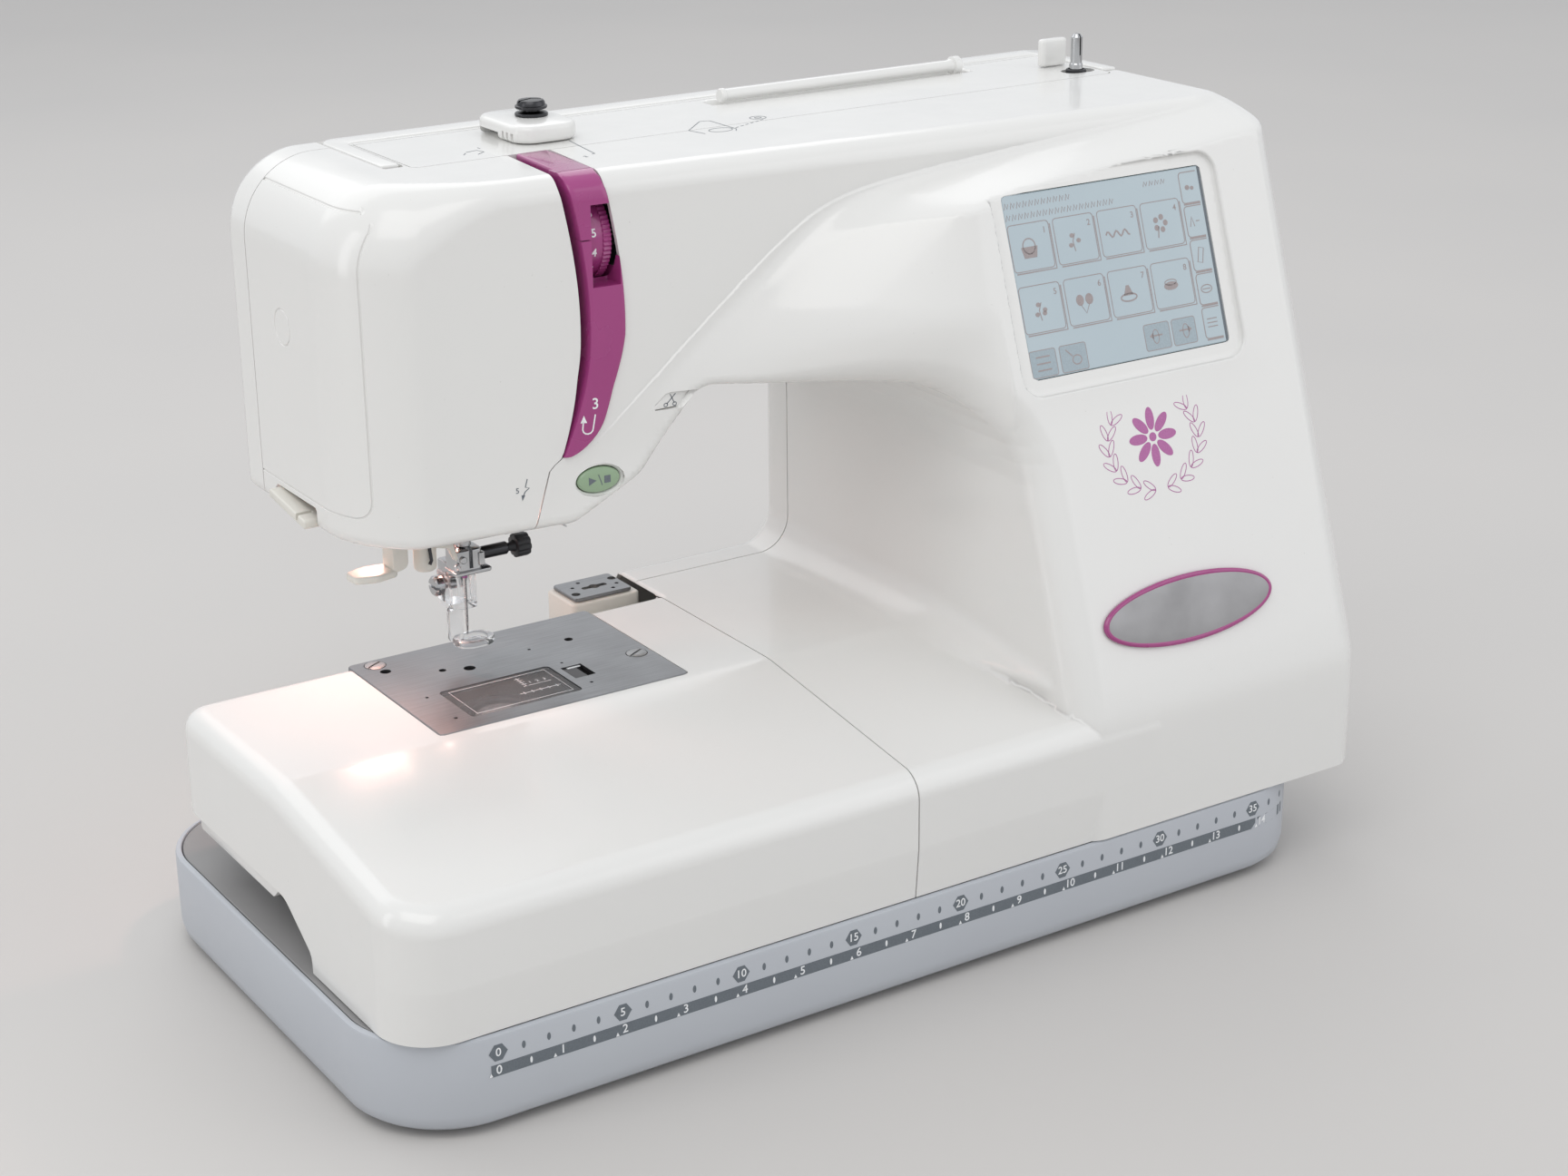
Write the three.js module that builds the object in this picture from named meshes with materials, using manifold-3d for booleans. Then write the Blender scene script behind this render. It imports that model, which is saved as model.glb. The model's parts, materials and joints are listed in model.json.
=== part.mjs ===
// A computerised embroidery sewing machine: a grey base tray with a printed ruler, a free-arm bed, and a
// C-shaped body of bed, leaning tower, arm and head, with its needle, hook, drive and embroidery carriage.
// Millimetres. x runs along the base from the ruler's zero, y goes back from the base's front face,
// z goes up from the base's lower edge. The last group moves that frame to the part's own origin.
import * as THREE from "three";
import { mergeVertices } from "three/addons/utils/BufferGeometryUtils.js";
import Module from "manifold-3d";

const wasm = await Module();
wasm.setup();

// ---------------------------------------------------------------- driving dimensions
const GAP = 0.3; // running gap between neighbouring pieces
const WALL = 3; // thickness of every moulded cover
const FOOT_DROP = 2.7; // how far the rubber feet stand below the base
const CENTRE_X = 193.5; // middle of the whole machine along x
const CENTRE_Y = 114.5; // middle of the whole machine along y

const base = { x0: -40, x1: 390, y0: 0, y1: 229, z1: 36.3, corner: 40, wall: 7, floor: 4 };
const bed = { x0: -35, seam: 180, y1: 194, z0: 36.8, brow: 87, crease: 103, top: 101, corner: 22 };
const notch = { x1: 62, y0: 76, z1: 58, brow: 98 };
const body = { x0: 15, x1: 412, y1: 228, top: 305, headFloor: 172, armFloor: 214, rearSeam: 210 };
const tower = { x0: 262, leanFrom: 85, lean: 0.34, ridge: 259, sweep: 46, corner: 24 };
const plate = { x0: 36, x1: 146, y0: 108, y1: 192, thick: 2.2 };
const lid = { x0: 62, x1: 395, y0: 158 };
const handle = { x0: 53, x1: 403.4, arm: 7.4, pivotY: 170, grip: 213, y1: 224.6, sink: 8 };
const spindleAt = { x: 385, y: 171 };
const needleAt = { x: 76, y: 162 };
const presserAt = { x: 78, y: 175 };
const hookAt = { x: 74, y: 131 };
const mainShaft = { y: 182, z: 262, r: 4 };
const lowerShaft = { y: 155, z: 57, r: 4 };
const motorAt = { y: 120, z: 92 };
const lcd = { x0: 266.3, x1: 367, z0: 216, z1: 284.4 };
const badgeAt = { x: 320.5, z: 121, rx: 43.5, rz: 13.5 };
const startButton = { x: 108.8, z: 188.3, rx: 8.8, rz: 5 };
const tensionDial = { y: 128.5, z: 279, r: 17.4 };
const pretension = { x: 129, y: 190 };
const platePost = { x: -14, y: 200 }; // the screw that holds the base's top plate

// ---------------------------------------------------------------- materials
function finish(color, roughness, metalness = 0, opacity = 1) {
  return new THREE.MeshStandardMaterial({ color, roughness, metalness, opacity, transparent: opacity < 1 });
}

const mat = {
  white: finish(0xe8e7e3, 0.25),
  cream: finish(0xe2ddd0, 0.35),
  grey: finish(0xb4b8be, 0.45),
  plateGrey: finish(0x969393, 0.5),
  magenta: finish(0xa5417f, 0.3),
  green: finish(0x96af8c, 0.4),
  clear: finish(0xdfe5e6, 0.1, 0, 0.4),
  screen: finish(0xa5b2b9, 0.3),
  silver: finish(0xb9b9bc, 0.35, 0.6),
  steel: finish(0x9a9ca0, 0.35, 0.9),
  chrome: finish(0xc9ccd0, 0.15, 1),
  casting: finish(0x8d8f92, 0.6, 0.7),
  black: finish(0x1d1d20, 0.5),
  rubber: finish(0x3a3a3d, 0.9),
  board: finish(0x2f5d3c, 0.6),
};

// ---------------------------------------------------------------- solid helpers
function solid(geometry) {
  const bare = geometry.index ? geometry.toNonIndexed() : geometry.clone();
  const positionsOnly = new THREE.BufferGeometry().setAttribute("position", bare.getAttribute("position"));
  const merged = mergeVertices(positionsOnly, 1e-4);
  return new wasm.Manifold(
    new wasm.Mesh({
      numProp: 3,
      vertProperties: merged.attributes.position.array,
      triVerts: new Uint32Array(merged.index.array),
    }),
  );
}

function geometryOf(shape) {
  const mesh = shape.getMesh();
  const positions = new Float32Array(mesh.numVert * 3);
  for (let i = 0; i < mesh.numVert; i++) {
    positions.set(mesh.vertProperties.subarray(i * mesh.numProp, i * mesh.numProp + 3), i * 3);
  }
  const geometry = new THREE.BufferGeometry();
  geometry.setAttribute("position", new THREE.BufferAttribute(positions, 3));
  geometry.setIndex(new THREE.BufferAttribute(mesh.triVerts, 1));
  const flat = geometry.toNonIndexed();
  flat.computeVertexNormals();
  return flat;
}

const machine = new THREE.Group();

function add(name, shape, material) {
  const mesh = new THREE.Mesh(geometryOf(shape), material);
  mesh.name = name;
  machine.add(mesh);
}

// A closed outline from points and arcs: [x, y] is a corner, [x, y, r] is a corner rounded to radius r.
function outline(corners, arcSteps = 6) {
  const points = [];
  corners.forEach(([x, y, r = 0], i) => {
    const here = new THREE.Vector2(x, y);
    if (r <= 0) {
      points.push(here);
      return;
    }
    const [px, py] = corners[(i + corners.length - 1) % corners.length];
    const [nx, ny] = corners[(i + 1) % corners.length];
    const back = new THREE.Vector2(px, py).sub(here).normalize();
    const ahead = new THREE.Vector2(nx, ny).sub(here).normalize();
    const half = Math.acos(THREE.MathUtils.clamp(back.dot(ahead), -1, 1)) / 2;
    const reach = r / Math.tan(half);
    const bisector = back.clone().add(ahead).normalize();
    const centre = here.clone().addScaledVector(bisector, r / Math.sin(half));
    const start = here.clone().addScaledVector(back, reach).sub(centre);
    const turn = Math.PI - 2 * half;
    const sense = Math.sign(back.cross(ahead)) * -1;
    for (let k = 0; k <= arcSteps; k++) {
      points.push(start.clone().rotateAround(new THREE.Vector2(), (sense * turn * k) / arcSteps).add(centre));
    }
  });
  return new THREE.Shape(points);
}

function rectangle(x0, y0, x1, y1, r = 0, arcSteps = 6) {
  return outline([[x0, y0, r], [x1, y0, r], [x1, y1, r], [x0, y1, r]], arcSteps);
}

function extrude(shape, depth, curveSegments = 10) {
  return new THREE.ExtrudeGeometry(shape, { depth, bevelEnabled: false, curveSegments });
}

// Extrusions of an outline drawn in xy, xz or yz, between two values of the third axis.
const alongZ = (shape, z0, z1) => solid(extrude(shape, z1 - z0).translate(0, 0, z0));
const alongY = (shape, y0, y1) => solid(extrude(shape, y1 - y0).rotateX(Math.PI / 2).translate(0, y1, 0));
const yzToWorld = new THREE.Matrix4().makeBasis(
  new THREE.Vector3(0, 1, 0),
  new THREE.Vector3(0, 0, 1),
  new THREE.Vector3(1, 0, 0),
);
const alongX = (shape, x0, x1) => solid(extrude(shape, x1 - x0).applyMatrix4(yzToWorld).translate(x0, 0, 0));

function box(x0, y0, z0, x1, y1, z1) {
  const geometry = new THREE.BoxGeometry(x1 - x0, y1 - y0, z1 - z0);
  return solid(geometry.translate((x0 + x1) / 2, (y0 + y1) / 2, (z0 + z1) / 2));
}

// A round bar from point a to point b, with a second radius at b for a taper.
function bar(a, b, r, sides = 16, r2 = r) {
  const from = new THREE.Vector3(...a);
  const span = new THREE.Vector3(...b).sub(from);
  const geometry = new THREE.CylinderGeometry(r2, r, span.length(), sides);
  geometry.translate(0, span.length() / 2, 0);
  const upright = new THREE.Vector3(0, 1, 0);
  const turn = new THREE.Quaternion().setFromUnitVectors(upright, span.clone().normalize());
  return solid(geometry.applyQuaternion(turn).translate(...a));
}

// A turned piece about a vertical axis, from [radius, height] pairs closed on themselves or on the axis.
function turned(x, y, profile, sides = 24) {
  const points = profile.map(([r, z]) => new THREE.Vector2(r, z));
  const geometry = new THREE.LatheGeometry(points, sides);
  return solid(geometry.rotateX(Math.PI / 2).translate(x, y, 0));
}

// A disc with square teeth about the x axis.
function toothedWheel(x0, x1, y, z, rTip, rRoot, teeth) {
  const points = [];
  for (let i = 0; i < teeth; i++) {
    const steps = [[0, rRoot], [0.25, rTip], [0.55, rTip], [0.8, rRoot]];
    for (const [part, r] of steps) {
      const angle = ((i + part) / teeth) * 2 * Math.PI;
      points.push(new THREE.Vector2(y + r * Math.cos(angle), z + r * Math.sin(angle)));
    }
  }
  return alongX(new THREE.Shape(points), x0, x1);
}

// The outline round two circles, as a belt lies on its two pulleys.
function beltOutline(a, ra, b, rb, steps = 10) {
  const along = Math.atan2(b[1] - a[1], b[0] - a[0]);
  const distance = Math.hypot(b[0] - a[0], b[1] - a[1]);
  const open = Math.acos((ra - rb) / distance);
  const points = [];
  for (let k = 0; k <= steps; k++) {
    const angle = along + open + ((2 * Math.PI - 2 * open) * k) / steps;
    points.push(new THREE.Vector2(a[0] + ra * Math.cos(angle), a[1] + ra * Math.sin(angle)));
  }
  for (let k = 0; k <= steps; k++) {
    const angle = along - open + (2 * open * k) / steps;
    points.push(new THREE.Vector2(b[0] + rb * Math.cos(angle), b[1] + rb * Math.sin(angle)));
  }
  return new THREE.Shape(points);
}

function belt(x0, x1, a, ra, b, rb, thick) {
  const outer = alongX(beltOutline(a, ra + thick, b, rb + thick), x0, x1);
  return outer.subtract(alongX(beltOutline(a, ra, b, rb), x0 - 1, x1 + 1));
}

// ---------------------------------------------------------------- the covers' common outer form
const frontOfHead = (x) => 112 + 0.1 * (120 - x); // the head's front is turned a little from the x axis
const leanY = (z) => Math.max(0, (z - tower.leanFrom) * tower.lean); // the tower's leaning front

// The C of head, arm and tower, seen from the front, shrunk by t.
function upperOutline(t) {
  return outline(
    [
      [body.x0 + t, body.headFloor + t, 9],
      [101 - t * 0.4, body.headFloor + t, 12],
      [127 - t * 0.6, 188 + t * 0.7, 20],
      [152 - t * 0.4, body.armFloor + 5 + t, 10],
      [tower.x0 + t, body.armFloor + t, tower.sweep],
      [tower.x0 + t, 60],
      [body.x1 - t, 60],
      [body.x1 - t, body.top - t, 13 - t],
      [body.x0 + t, body.top - t, 30 - t],
    ],
    8,
  );
}

// The same body seen from above: left side, head front, recess of the arm, and the tower standing forward.
function planOutline(t) {
  return outline(
    [
      [body.x0 + t, body.y1 - t, 10],
      [body.x0 + t, frontOfHead(body.x0) + t, 34 - t],
      [165, frontOfHead(165) + t, 30],
      [246 + t, 40 + t, 40],
      [tower.ridge + t, t],
      [body.x1 - t, t, tower.corner - t],
      [body.x1 - t, body.y1 - t, 12],
    ],
    8,
  );
}

// The leaning front seen from the side.
function sideOutline(t) {
  const slope = t * Math.hypot(1, tower.lean);
  return outline([
    [t, 50],
    [t, tower.leanFrom],
    [leanY(body.top) + slope, body.top - t, 8],
    [body.y1 + 1, body.top - t],
    [body.y1 + 1, 50],
  ]);
}

// The section of the bed: upright front, rounded brow, a shallow rise to the flat deck.
function bedOutline(t, y1, z0) {
  return outline([
    [t + 2, z0],
    [t, 58],
    [t, bed.brow - t, 10 - t],
    [bed.crease, bed.top - t, 60],
    [y1 - t, bed.top - t, 1.5],
    [y1 - t, z0],
  ], 5);
}

function upperBody(t) {
  const seenFromFront = alongY(upperOutline(t), -20, body.y1 + 1 - t);
  const seenFromAbove = alongZ(planOutline(t), 50, body.top + 5);
  const seenFromSide = alongX(sideOutline(t), -10, 430);
  return seenFromFront.intersect(seenFromAbove).intersect(seenFromSide);
}

function towerFoot(t) {
  const z0 = t > 0 ? bed.z0 - 5 : bed.z0;
  const section = alongX(bedOutline(t, body.y1, z0), bed.seam + GAP + t, body.x1 - t);
  const left = bed.seam + t;
  const right = body.x1 - t;
  const back = body.y1 - t;
  const footprint = outline([[left, t], [right, t, tower.corner - t], [right, back, 12], [left, back]], 8);
  return section.intersect(alongZ(footprint, z0 - 1, bed.top + 5));
}

// The folded carrying handle, a U whose grip lies along the back; grown by `grow`, it is the well it lies in.
function handleShape(grow, depth) {
  const { x0, x1, arm, pivotY, grip, y1, sink } = handle;
  const z0 = body.top - sink;
  const front = pivotY - 4 - grow * 5; // the arms' square ends swing past their pivots
  const left = box(x0 - grow, front, z0, x0 + arm + grow, y1 + grow, z0 + depth);
  const right = box(x1 - arm - grow, front, z0, x1 + grow, y1 + grow, z0 + depth);
  return left.add(right).add(box(x0 - grow, grip - grow, z0, x1 + grow, y1 + grow, z0 + depth));
}

// The top stretch of the thread guide, seen from above, grown by g.
function guideTop(g) {
  const y1 = lid.y0 - GAP + g;
  return outline([[100.5 - g, 100], [114 + g, 100], [118 + g, y1], [104.5 - g, y1]]);
}

const outerForm = upperBody(0).add(towerFoot(0));
const innerForm = upperBody(WALL).add(towerFoot(WALL));
const hookSpace = box(40, 136, 160, 104, 207, 176); // the open underside round the needle bar
const carriageDoor = box(170, 197, 40, 190, 226.5, 97.5); // where the embroidery arm leaves the tower foot
const rightPorts = box(405, 132, 58, 420, 200, 92); // where the mains inlet and switch sit
const shaftHole = bar([400, mainShaft.y, mainShaft.z], [420, mainShaft.y, mainShaft.z], 6);
const bedPassage = alongX(bedOutline(WALL, bed.y1, 30), bed.seam - 5, bed.seam + WALL + 1); // open inside
const lifterSpace = box(80, 186, 160, 122, 209, 190); // room for the presser lifter behind the head
const handleWell = handleShape(GAP * 2, 20);
const shell = outerForm
  .subtract(innerForm)
  .subtract(hookSpace)
  .subtract(carriageDoor)
  .subtract(rightPorts)
  .subtract(shaftHole)
  .subtract(lifterSpace)
  .subtract(handleWell)
  .subtract(bedPassage)
  .subtract(alongZ(guideTop(GAP), 298, 310));

// The thread guide's two edges on the head's front: x at height z, bowed out to the right, round at the foot.
const guideFoot = 199.5;
const guideUpper = (z) => 97 + 10 * Math.cos(((z - 244) / 62) * (Math.PI / 2)) + (z - 244) * 0.04;
const guideLower = (z) => 107 - 11.9 * ((244 - z) / 43.7) ** 1.7;
const guideLeft = (z) => (z > 244 ? guideUpper(z) : guideLower(z));
const guideTaper = (z) => 14.5 - 2.6 * Math.min(1, Math.max(0, (244 - z) / 20));
const guideRight = (z) => guideLeft(z) + guideTaper(z) * Math.sqrt(1 - (Math.max(0, 213 - z) / 14) ** 2);
const guideSlot = (z) => 0.5 + 3.1 * Math.min(1, (z - 199) / 30); // the slot left of it, wider above

function edgePoints(edge, zLow, zHigh, steps = 10) {
  const points = [];
  for (let k = 0; k <= steps; k++) {
    const z = zLow + ((zHigh - zLow) * k) / steps;
    points.push([edge(z), z]);
  }
  return points;
}

const lidZone = box(lid.x0, lid.y0, 296, lid.x1, 240, 310);

function buildCovers() {
  const edgeL = edgePoints((z) => guideLeft(z) - guideSlot(z), guideFoot, 301, 16);
  const edgeR = edgePoints((z) => guideRight(z) + GAP, guideFoot, 301, 16);
  const topOfSlot = edgeL.at(-1)[0];
  const faceEdge = [[0, 160], [78, 160], [88.7, 195.5], ...edgeL, [topOfSlot, 320], [0, 320]];
  const rightOfGuide = outline([
    [420, 320],
    [edgeR.at(-1)[0], 320],
    ...[...edgeR].reverse(),
    [94.9, 198.9],
    [89.2, 195.1],
    [78.6, 160],
    [78.6, 30],
    [420, 30],
  ]);
  const frontHalf = box(-10, -10, 30, 430, body.rearSeam - GAP / 2, 320);
  const rearHalf = box(-10, body.rearSeam + GAP / 2, 30, 430, 240, 320);
  const withoutLid = shell.subtract(lidZone);
  const lcdWell = lcdBlock(2.2, 40, 1.2);
  const buttons = alongY(startOval(0.4), 90, 130).add(alongY(cutterButtonOutline(GAP), 90, 130));
  const faceCover = withoutLid.intersect(frontHalf).intersect(alongY(outline(faceEdge), 90, 240));
  const cutterNotch = box(5, 160, 170, 24, 198, 181);
  add("face_cover", faceCover.subtract(cutterNotch), mat.white);
  const frontCover = withoutLid.intersect(frontHalf).intersect(alongY(rightOfGuide, -10, 240));
  add("front_cover", frontCover.subtract(lcdWell).subtract(buttons), mat.white);
  const lidEdge = box(lid.x0 - 3, 205, 298, lid.x1 + 3, handle.grip, 310);
  add("rear_cover", shell.intersect(rearHalf).subtract(lidEdge), mat.white);
  const top = box(lid.x0 + GAP, lid.y0 + GAP, body.top - WALL, lid.x1 - GAP, body.rearSeam - GAP, body.top);
  const spoolGroove = box(214, 196, body.top - 1.6, 356, 206, 310);
  const { x, y } = spindleAt;
  const winderSlot = alongZ(rectangle(x - 7, y - 5, x + 9, y + 5, 4.9), 290, 320);
  const discHole = bar([pretension.x, pretension.y, 290], [pretension.x, pretension.y, 320], 2.4);
  add("top_cover", top.subtract(spoolGroove).subtract(discHole).subtract(winderSlot), mat.white);
}

function startOval(grow) {
  const { x, z, rx, rz } = startButton;
  return new THREE.Shape().absellipse(x, z, rx + grow, rz + grow, 0, 2 * Math.PI);
}

function cutterButtonOutline(grow) {
  const z0 = 212.4 - grow;
  const z1 = 218.4 + grow;
  return outline([[130.5 - grow * 2, z0], [143.5 + grow, z0], [149.5 + grow * 2, z1], [137.5 - grow, z1]]);
}

// A block lying in the tower's leaning front over the screen's outline grown by `grow`.
function lcdBlock(grow, depth, proud) {
  const middle = (lcd.z0 + lcd.z1) / 2;
  const halfX = (lcd.x1 - lcd.x0) / 2 + grow;
  const halfZ = ((lcd.z1 - lcd.z0) / 2) * Math.hypot(1, tower.lean) + grow;
  const geometry = extrude(rectangle(-halfX, -halfZ, halfX, halfZ, 2), depth).translate(0, 0, proud - depth);
  geometry.rotateX(Math.PI / 2 - Math.atan(tower.lean));
  return solid(geometry.translate((lcd.x0 + lcd.x1) / 2, leanY(middle), middle));
}

// ---------------------------------------------------------------- base
function buildBase() {
  const { x0, x1, y0, y1, z1, corner, wall, floor } = base;
  const feet = [[0, 40], [350, 40], [0, 190], [350, 190]];
  const rim = wall + GAP;
  let tray = alongZ(rectangle(x0, y0, x1, y1, corner, 8), 0, z1);
  const hollow = rectangle(x0 + wall, y0 + wall, x1 - wall, y1 - wall, corner - wall, 8);
  tray = tray.subtract(alongZ(hollow, floor, z1 + 1));
  feet.forEach(([x, y]) => (tray = tray.subtract(bar([x, y, -1], [x, y, 1.3], 9.3))));
  const post = [platePost.x, platePost.y];
  tray = tray.add(bar([...post, 2], [...post, z1 - 4], 5));
  tray = tray.subtract(bar([...post, 8], [...post, z1], 1.6, 10));
  add("base_tray", tray, mat.grey);
  feet.forEach(([x, y], i) => add(`rubber_foot_${i + 1}`, bar([x, y, -FOOT_DROP], [x, y, 1], 9), mat.rubber));
  let top = alongZ(rectangle(x0 + rim, y0 + rim, x1 - rim, y1 - rim, corner - rim, 8), z1 - 3.6, z1 - 0.2);
  const recess = box(-20, 40, z1 - 1.8, 44, 165, z1 + 1);
  top = top.subtract(recess).subtract(bar([...post, 20], [...post, z1 + 1], 2));
  add("base_top_plate", top, mat.plateGrey);
  const head = bar([...post, z1 - 0.1], [...post, z1 + 1.1], 4);
  const screw = bar([...post, 24], [...post, z1 - 0.1], 1.3, 10).add(head);
  const screwSlot = box(post[0] - 5, post[1] - 0.6, z1 + 0.5, post[0] + 5, post[1] + 0.6, z1 + 2);
  add("base_plate_screw", screw.subtract(screwSlot), mat.black);
}

// ---------------------------------------------------------------- bed
function notchOutline(t) {
  const lip = notch.y0 - t;
  const ceiling = notch.z1 + t;
  return outline([[lip, 20], [lip, 44, 6], [notch.brow - t, ceiling, 12], [230, ceiling], [230, 20]]);
}

function bedForm(t) {
  const x0 = bed.x0 + t;
  const x1 = bed.seam - GAP;
  const z0 = t > 0 ? bed.z0 - 5 : bed.z0;
  const section = alongX(bedOutline(t, bed.y1, z0), x0, x1 + t);
  const r = bed.corner - t;
  const footprint = outline([[x0, t, r], [x1 + t, t], [x1 + t, bed.y1 - t], [x0, bed.y1 - t, 10 - t]], 8);
  const block = section.intersect(alongZ(footprint, z0 - 1, bed.top + 5));
  return block.subtract(alongX(notchOutline(t), -60, notch.x1 + t));
}

function buildBed() {
  const window = alongZ(rectangle(plate.x0, plate.y0, plate.x1, plate.y1, 2), 90, 110);
  add("bed_cover", bedForm(0).subtract(bedForm(WALL)).subtract(window), mat.white);
  const { x0, x1, y0, y1, thick } = plate;
  const z1 = bed.top + 0.2;
  const screws = [["needle_plate_screw_left", 46, 186], ["needle_plate_screw_right", 139, 138]];
  let metal = alongZ(rectangle(x0 + GAP, y0 + GAP, x1 - GAP, y1 - GAP, 2), z1 - thick, z1);
  metal = metal.subtract(alongZ(rectangle(54.2, 117, 102.8, 146.5, 2), 90, 110));
  metal = metal.subtract(box(106, 129, 90, 114.5, 141, 110));
  metal = metal.subtract(bar([needleAt.x, needleAt.y, 90], [needleAt.x, needleAt.y, 110], 2.4));
  for (const [x, y] of [[46.5, 178], [123.5, 167]]) {
    metal = metal.subtract(bar([x, y, 90], [x, y, 110], 1.8, 12));
  }
  for (const [name, x, y] of screws) {
    metal = metal.subtract(bar([x, y, z1 - 1], [x, y, z1 + 1], 4.5));
    metal = metal.subtract(bar([x, y, 90], [x, y, 110], 2));
    const shank = bar([x, y, z1 - 7], [x, y, z1 - 0.6], 1.6, 10);
    const head = bar([x, y, z1 - 0.7], [x, y, z1 + 0.5], 4.2).add(shank);
    add(name, head.subtract(box(x - 5, y - 0.5, z1, x + 5, y + 0.5, z1 + 2)), mat.steel);
  }
  add("needle_plate", metal, mat.steel);
  add("bobbin_cover_plate", alongZ(rectangle(54.5, 117.3, 102.5, 146.2, 2), z1 - 1.9, z1 - 0.1), mat.clear);
  add("cover_release_button", box(106.3, 129.3, z1 - 3, 112, 140.7, z1 - 0.5), mat.black);
}

// ---------------------------------------------------------------- hook and bobbin
function buildHook() {
  const { x, y } = hookAt;
  const cup = [[0, 74], [20, 74], [20, 91], [18.6, 91], [18.6, 76], [0, 76]];
  const hub = turned(x, y, [[0, 47], [4, 47], [4, 51], [7.7, 51], [7.7, 63], [4, 63], [4, 75], [0, 75]], 20);
  add("rotary_hook", turned(x, y, cup).add(hub), mat.chrome);
  const holder = [[0, 77], [18, 77], [18, 94], [12.6, 94], [12.6, 80], [0, 80]];
  add("bobbin_holder", turned(x, y, holder), mat.black);
  const reel = [[3, 81], [10.6, 81], [10.6, 82], [4, 82], [4, 92], [10.6, 92], [10.6, 93], [3, 93], [3, 81]];
  add("bobbin", turned(x, y, reel), mat.clear);
}

// ---------------------------------------------------------------- drive
function shaftAlongX(x0, x1, { y, z, r }) {
  return bar([x0, y, z], [x1, y, z], r);
}

function wheelOn(shaft, x0, x1, radius, teeth) {
  return toothedWheel(x0, x1, shaft.y, shaft.z, radius, radius - 0.9, teeth);
}

function buildDrive() {
  const beltThick = 1.4;
  const beltGap = 0.8;
  const motorShaft = { ...motorAt, r: 3 };
  const { y, z } = mainShaft;
  const crank = bar([86, y, z], [94, y, z], 15, 24).add(bar([84.6, y, z + 10], [87, y, z + 10], 2.5, 12));
  const upperWheels = wheelOn(mainShaft, 384, 396, 27, 40).add(wheelOn(mainShaft, 356, 366, 13, 22));
  add("main_shaft", shaftAlongX(93, 424, mainShaft).add(crank).add(upperWheels), mat.steel);
  const hookGear = wheelOn(lowerShaft, hookAt.x - 5, hookAt.x + 5, 15.8, 24);
  const lowerWheels = wheelOn(lowerShaft, 356, 366, 13, 22).add(hookGear);
  add("lower_shaft", shaftAlongX(66, 372, lowerShaft).add(lowerWheels), mat.steel);
  const can = bar([280, motorAt.y, motorAt.z], [350, motorAt.y, motorAt.z], 27, 24);
  add("motor", can, mat.casting);
  const pulley = shaftAlongX(350 + GAP, 398, motorShaft).add(wheelOn(motorShaft, 384, 396, 8, 14));
  add("motor_pulley", pulley, mat.steel);
  const high = [mainShaft.y, mainShaft.z];
  const low = [lowerShaft.y, lowerShaft.z];
  const drive = belt(385, 395, [motorAt.y, motorAt.z], 8 + beltGap, high, 27 + beltGap, beltThick);
  add("drive_belt", drive, mat.rubber);
  add("timing_belt", belt(357, 365, low, 13 + beltGap, high, 13 + beltGap, beltThick), mat.rubber);
  const rim = bar([412.6, mainShaft.y, mainShaft.z], [427, mainShaft.y, mainShaft.z], 31, 36);
  const grip = toothedWheel(416, 424, mainShaft.y, mainShaft.z, 32.5, 31.5, 36).add(rim);
  add("handwheel", grip.subtract(shaftAlongX(400, 424.5, { ...mainShaft, r: mainShaft.r + GAP })), mat.white);
}

// The cast frame that carries both shafts behind the covers.
function buildFrame() {
  const spine = outline([
    [70, 240, 6],
    [70, 288, 8],
    [376, 288, 12],
    [376, 42, 6],
    [196, 42, 4],
    [196, 50, 3],
    [332, 50, 8],
    [332, 240, 12],
  ]);
  let frame = alongY(spine, 199, 204.6);
  for (const x of [130, 335]) {
    frame = frame.add(box(x, 172, 252, x + 12, 200, 272));
  }
  for (const x of [200, 335]) {
    frame = frame.add(box(x, 145, 42, x + 12, 200, 67));
  }
  frame = frame.subtract(shaftAlongX(120, 402, { ...mainShaft, r: mainShaft.r + GAP }));
  frame = frame.subtract(shaftAlongX(190, 360, { ...lowerShaft, r: lowerShaft.r + GAP }));
  const pan = box(notch.x1 + 8, 9, bed.z0 + GAP, body.x1 - 10, 189, bed.z0 + 2.3);
  const rearPan = box(bed.seam + 5, 188, bed.z0 + GAP, body.x1 - 10, 219, bed.z0 + 2.3);
  const posts = box(196, 199, bed.z0 + 1, 204, 204.6, 46).add(box(364, 199, bed.z0 + 1, 376, 204.6, 50));
  add("machine_frame", frame.add(pan).add(rearPan).add(posts), mat.casting);
}

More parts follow.
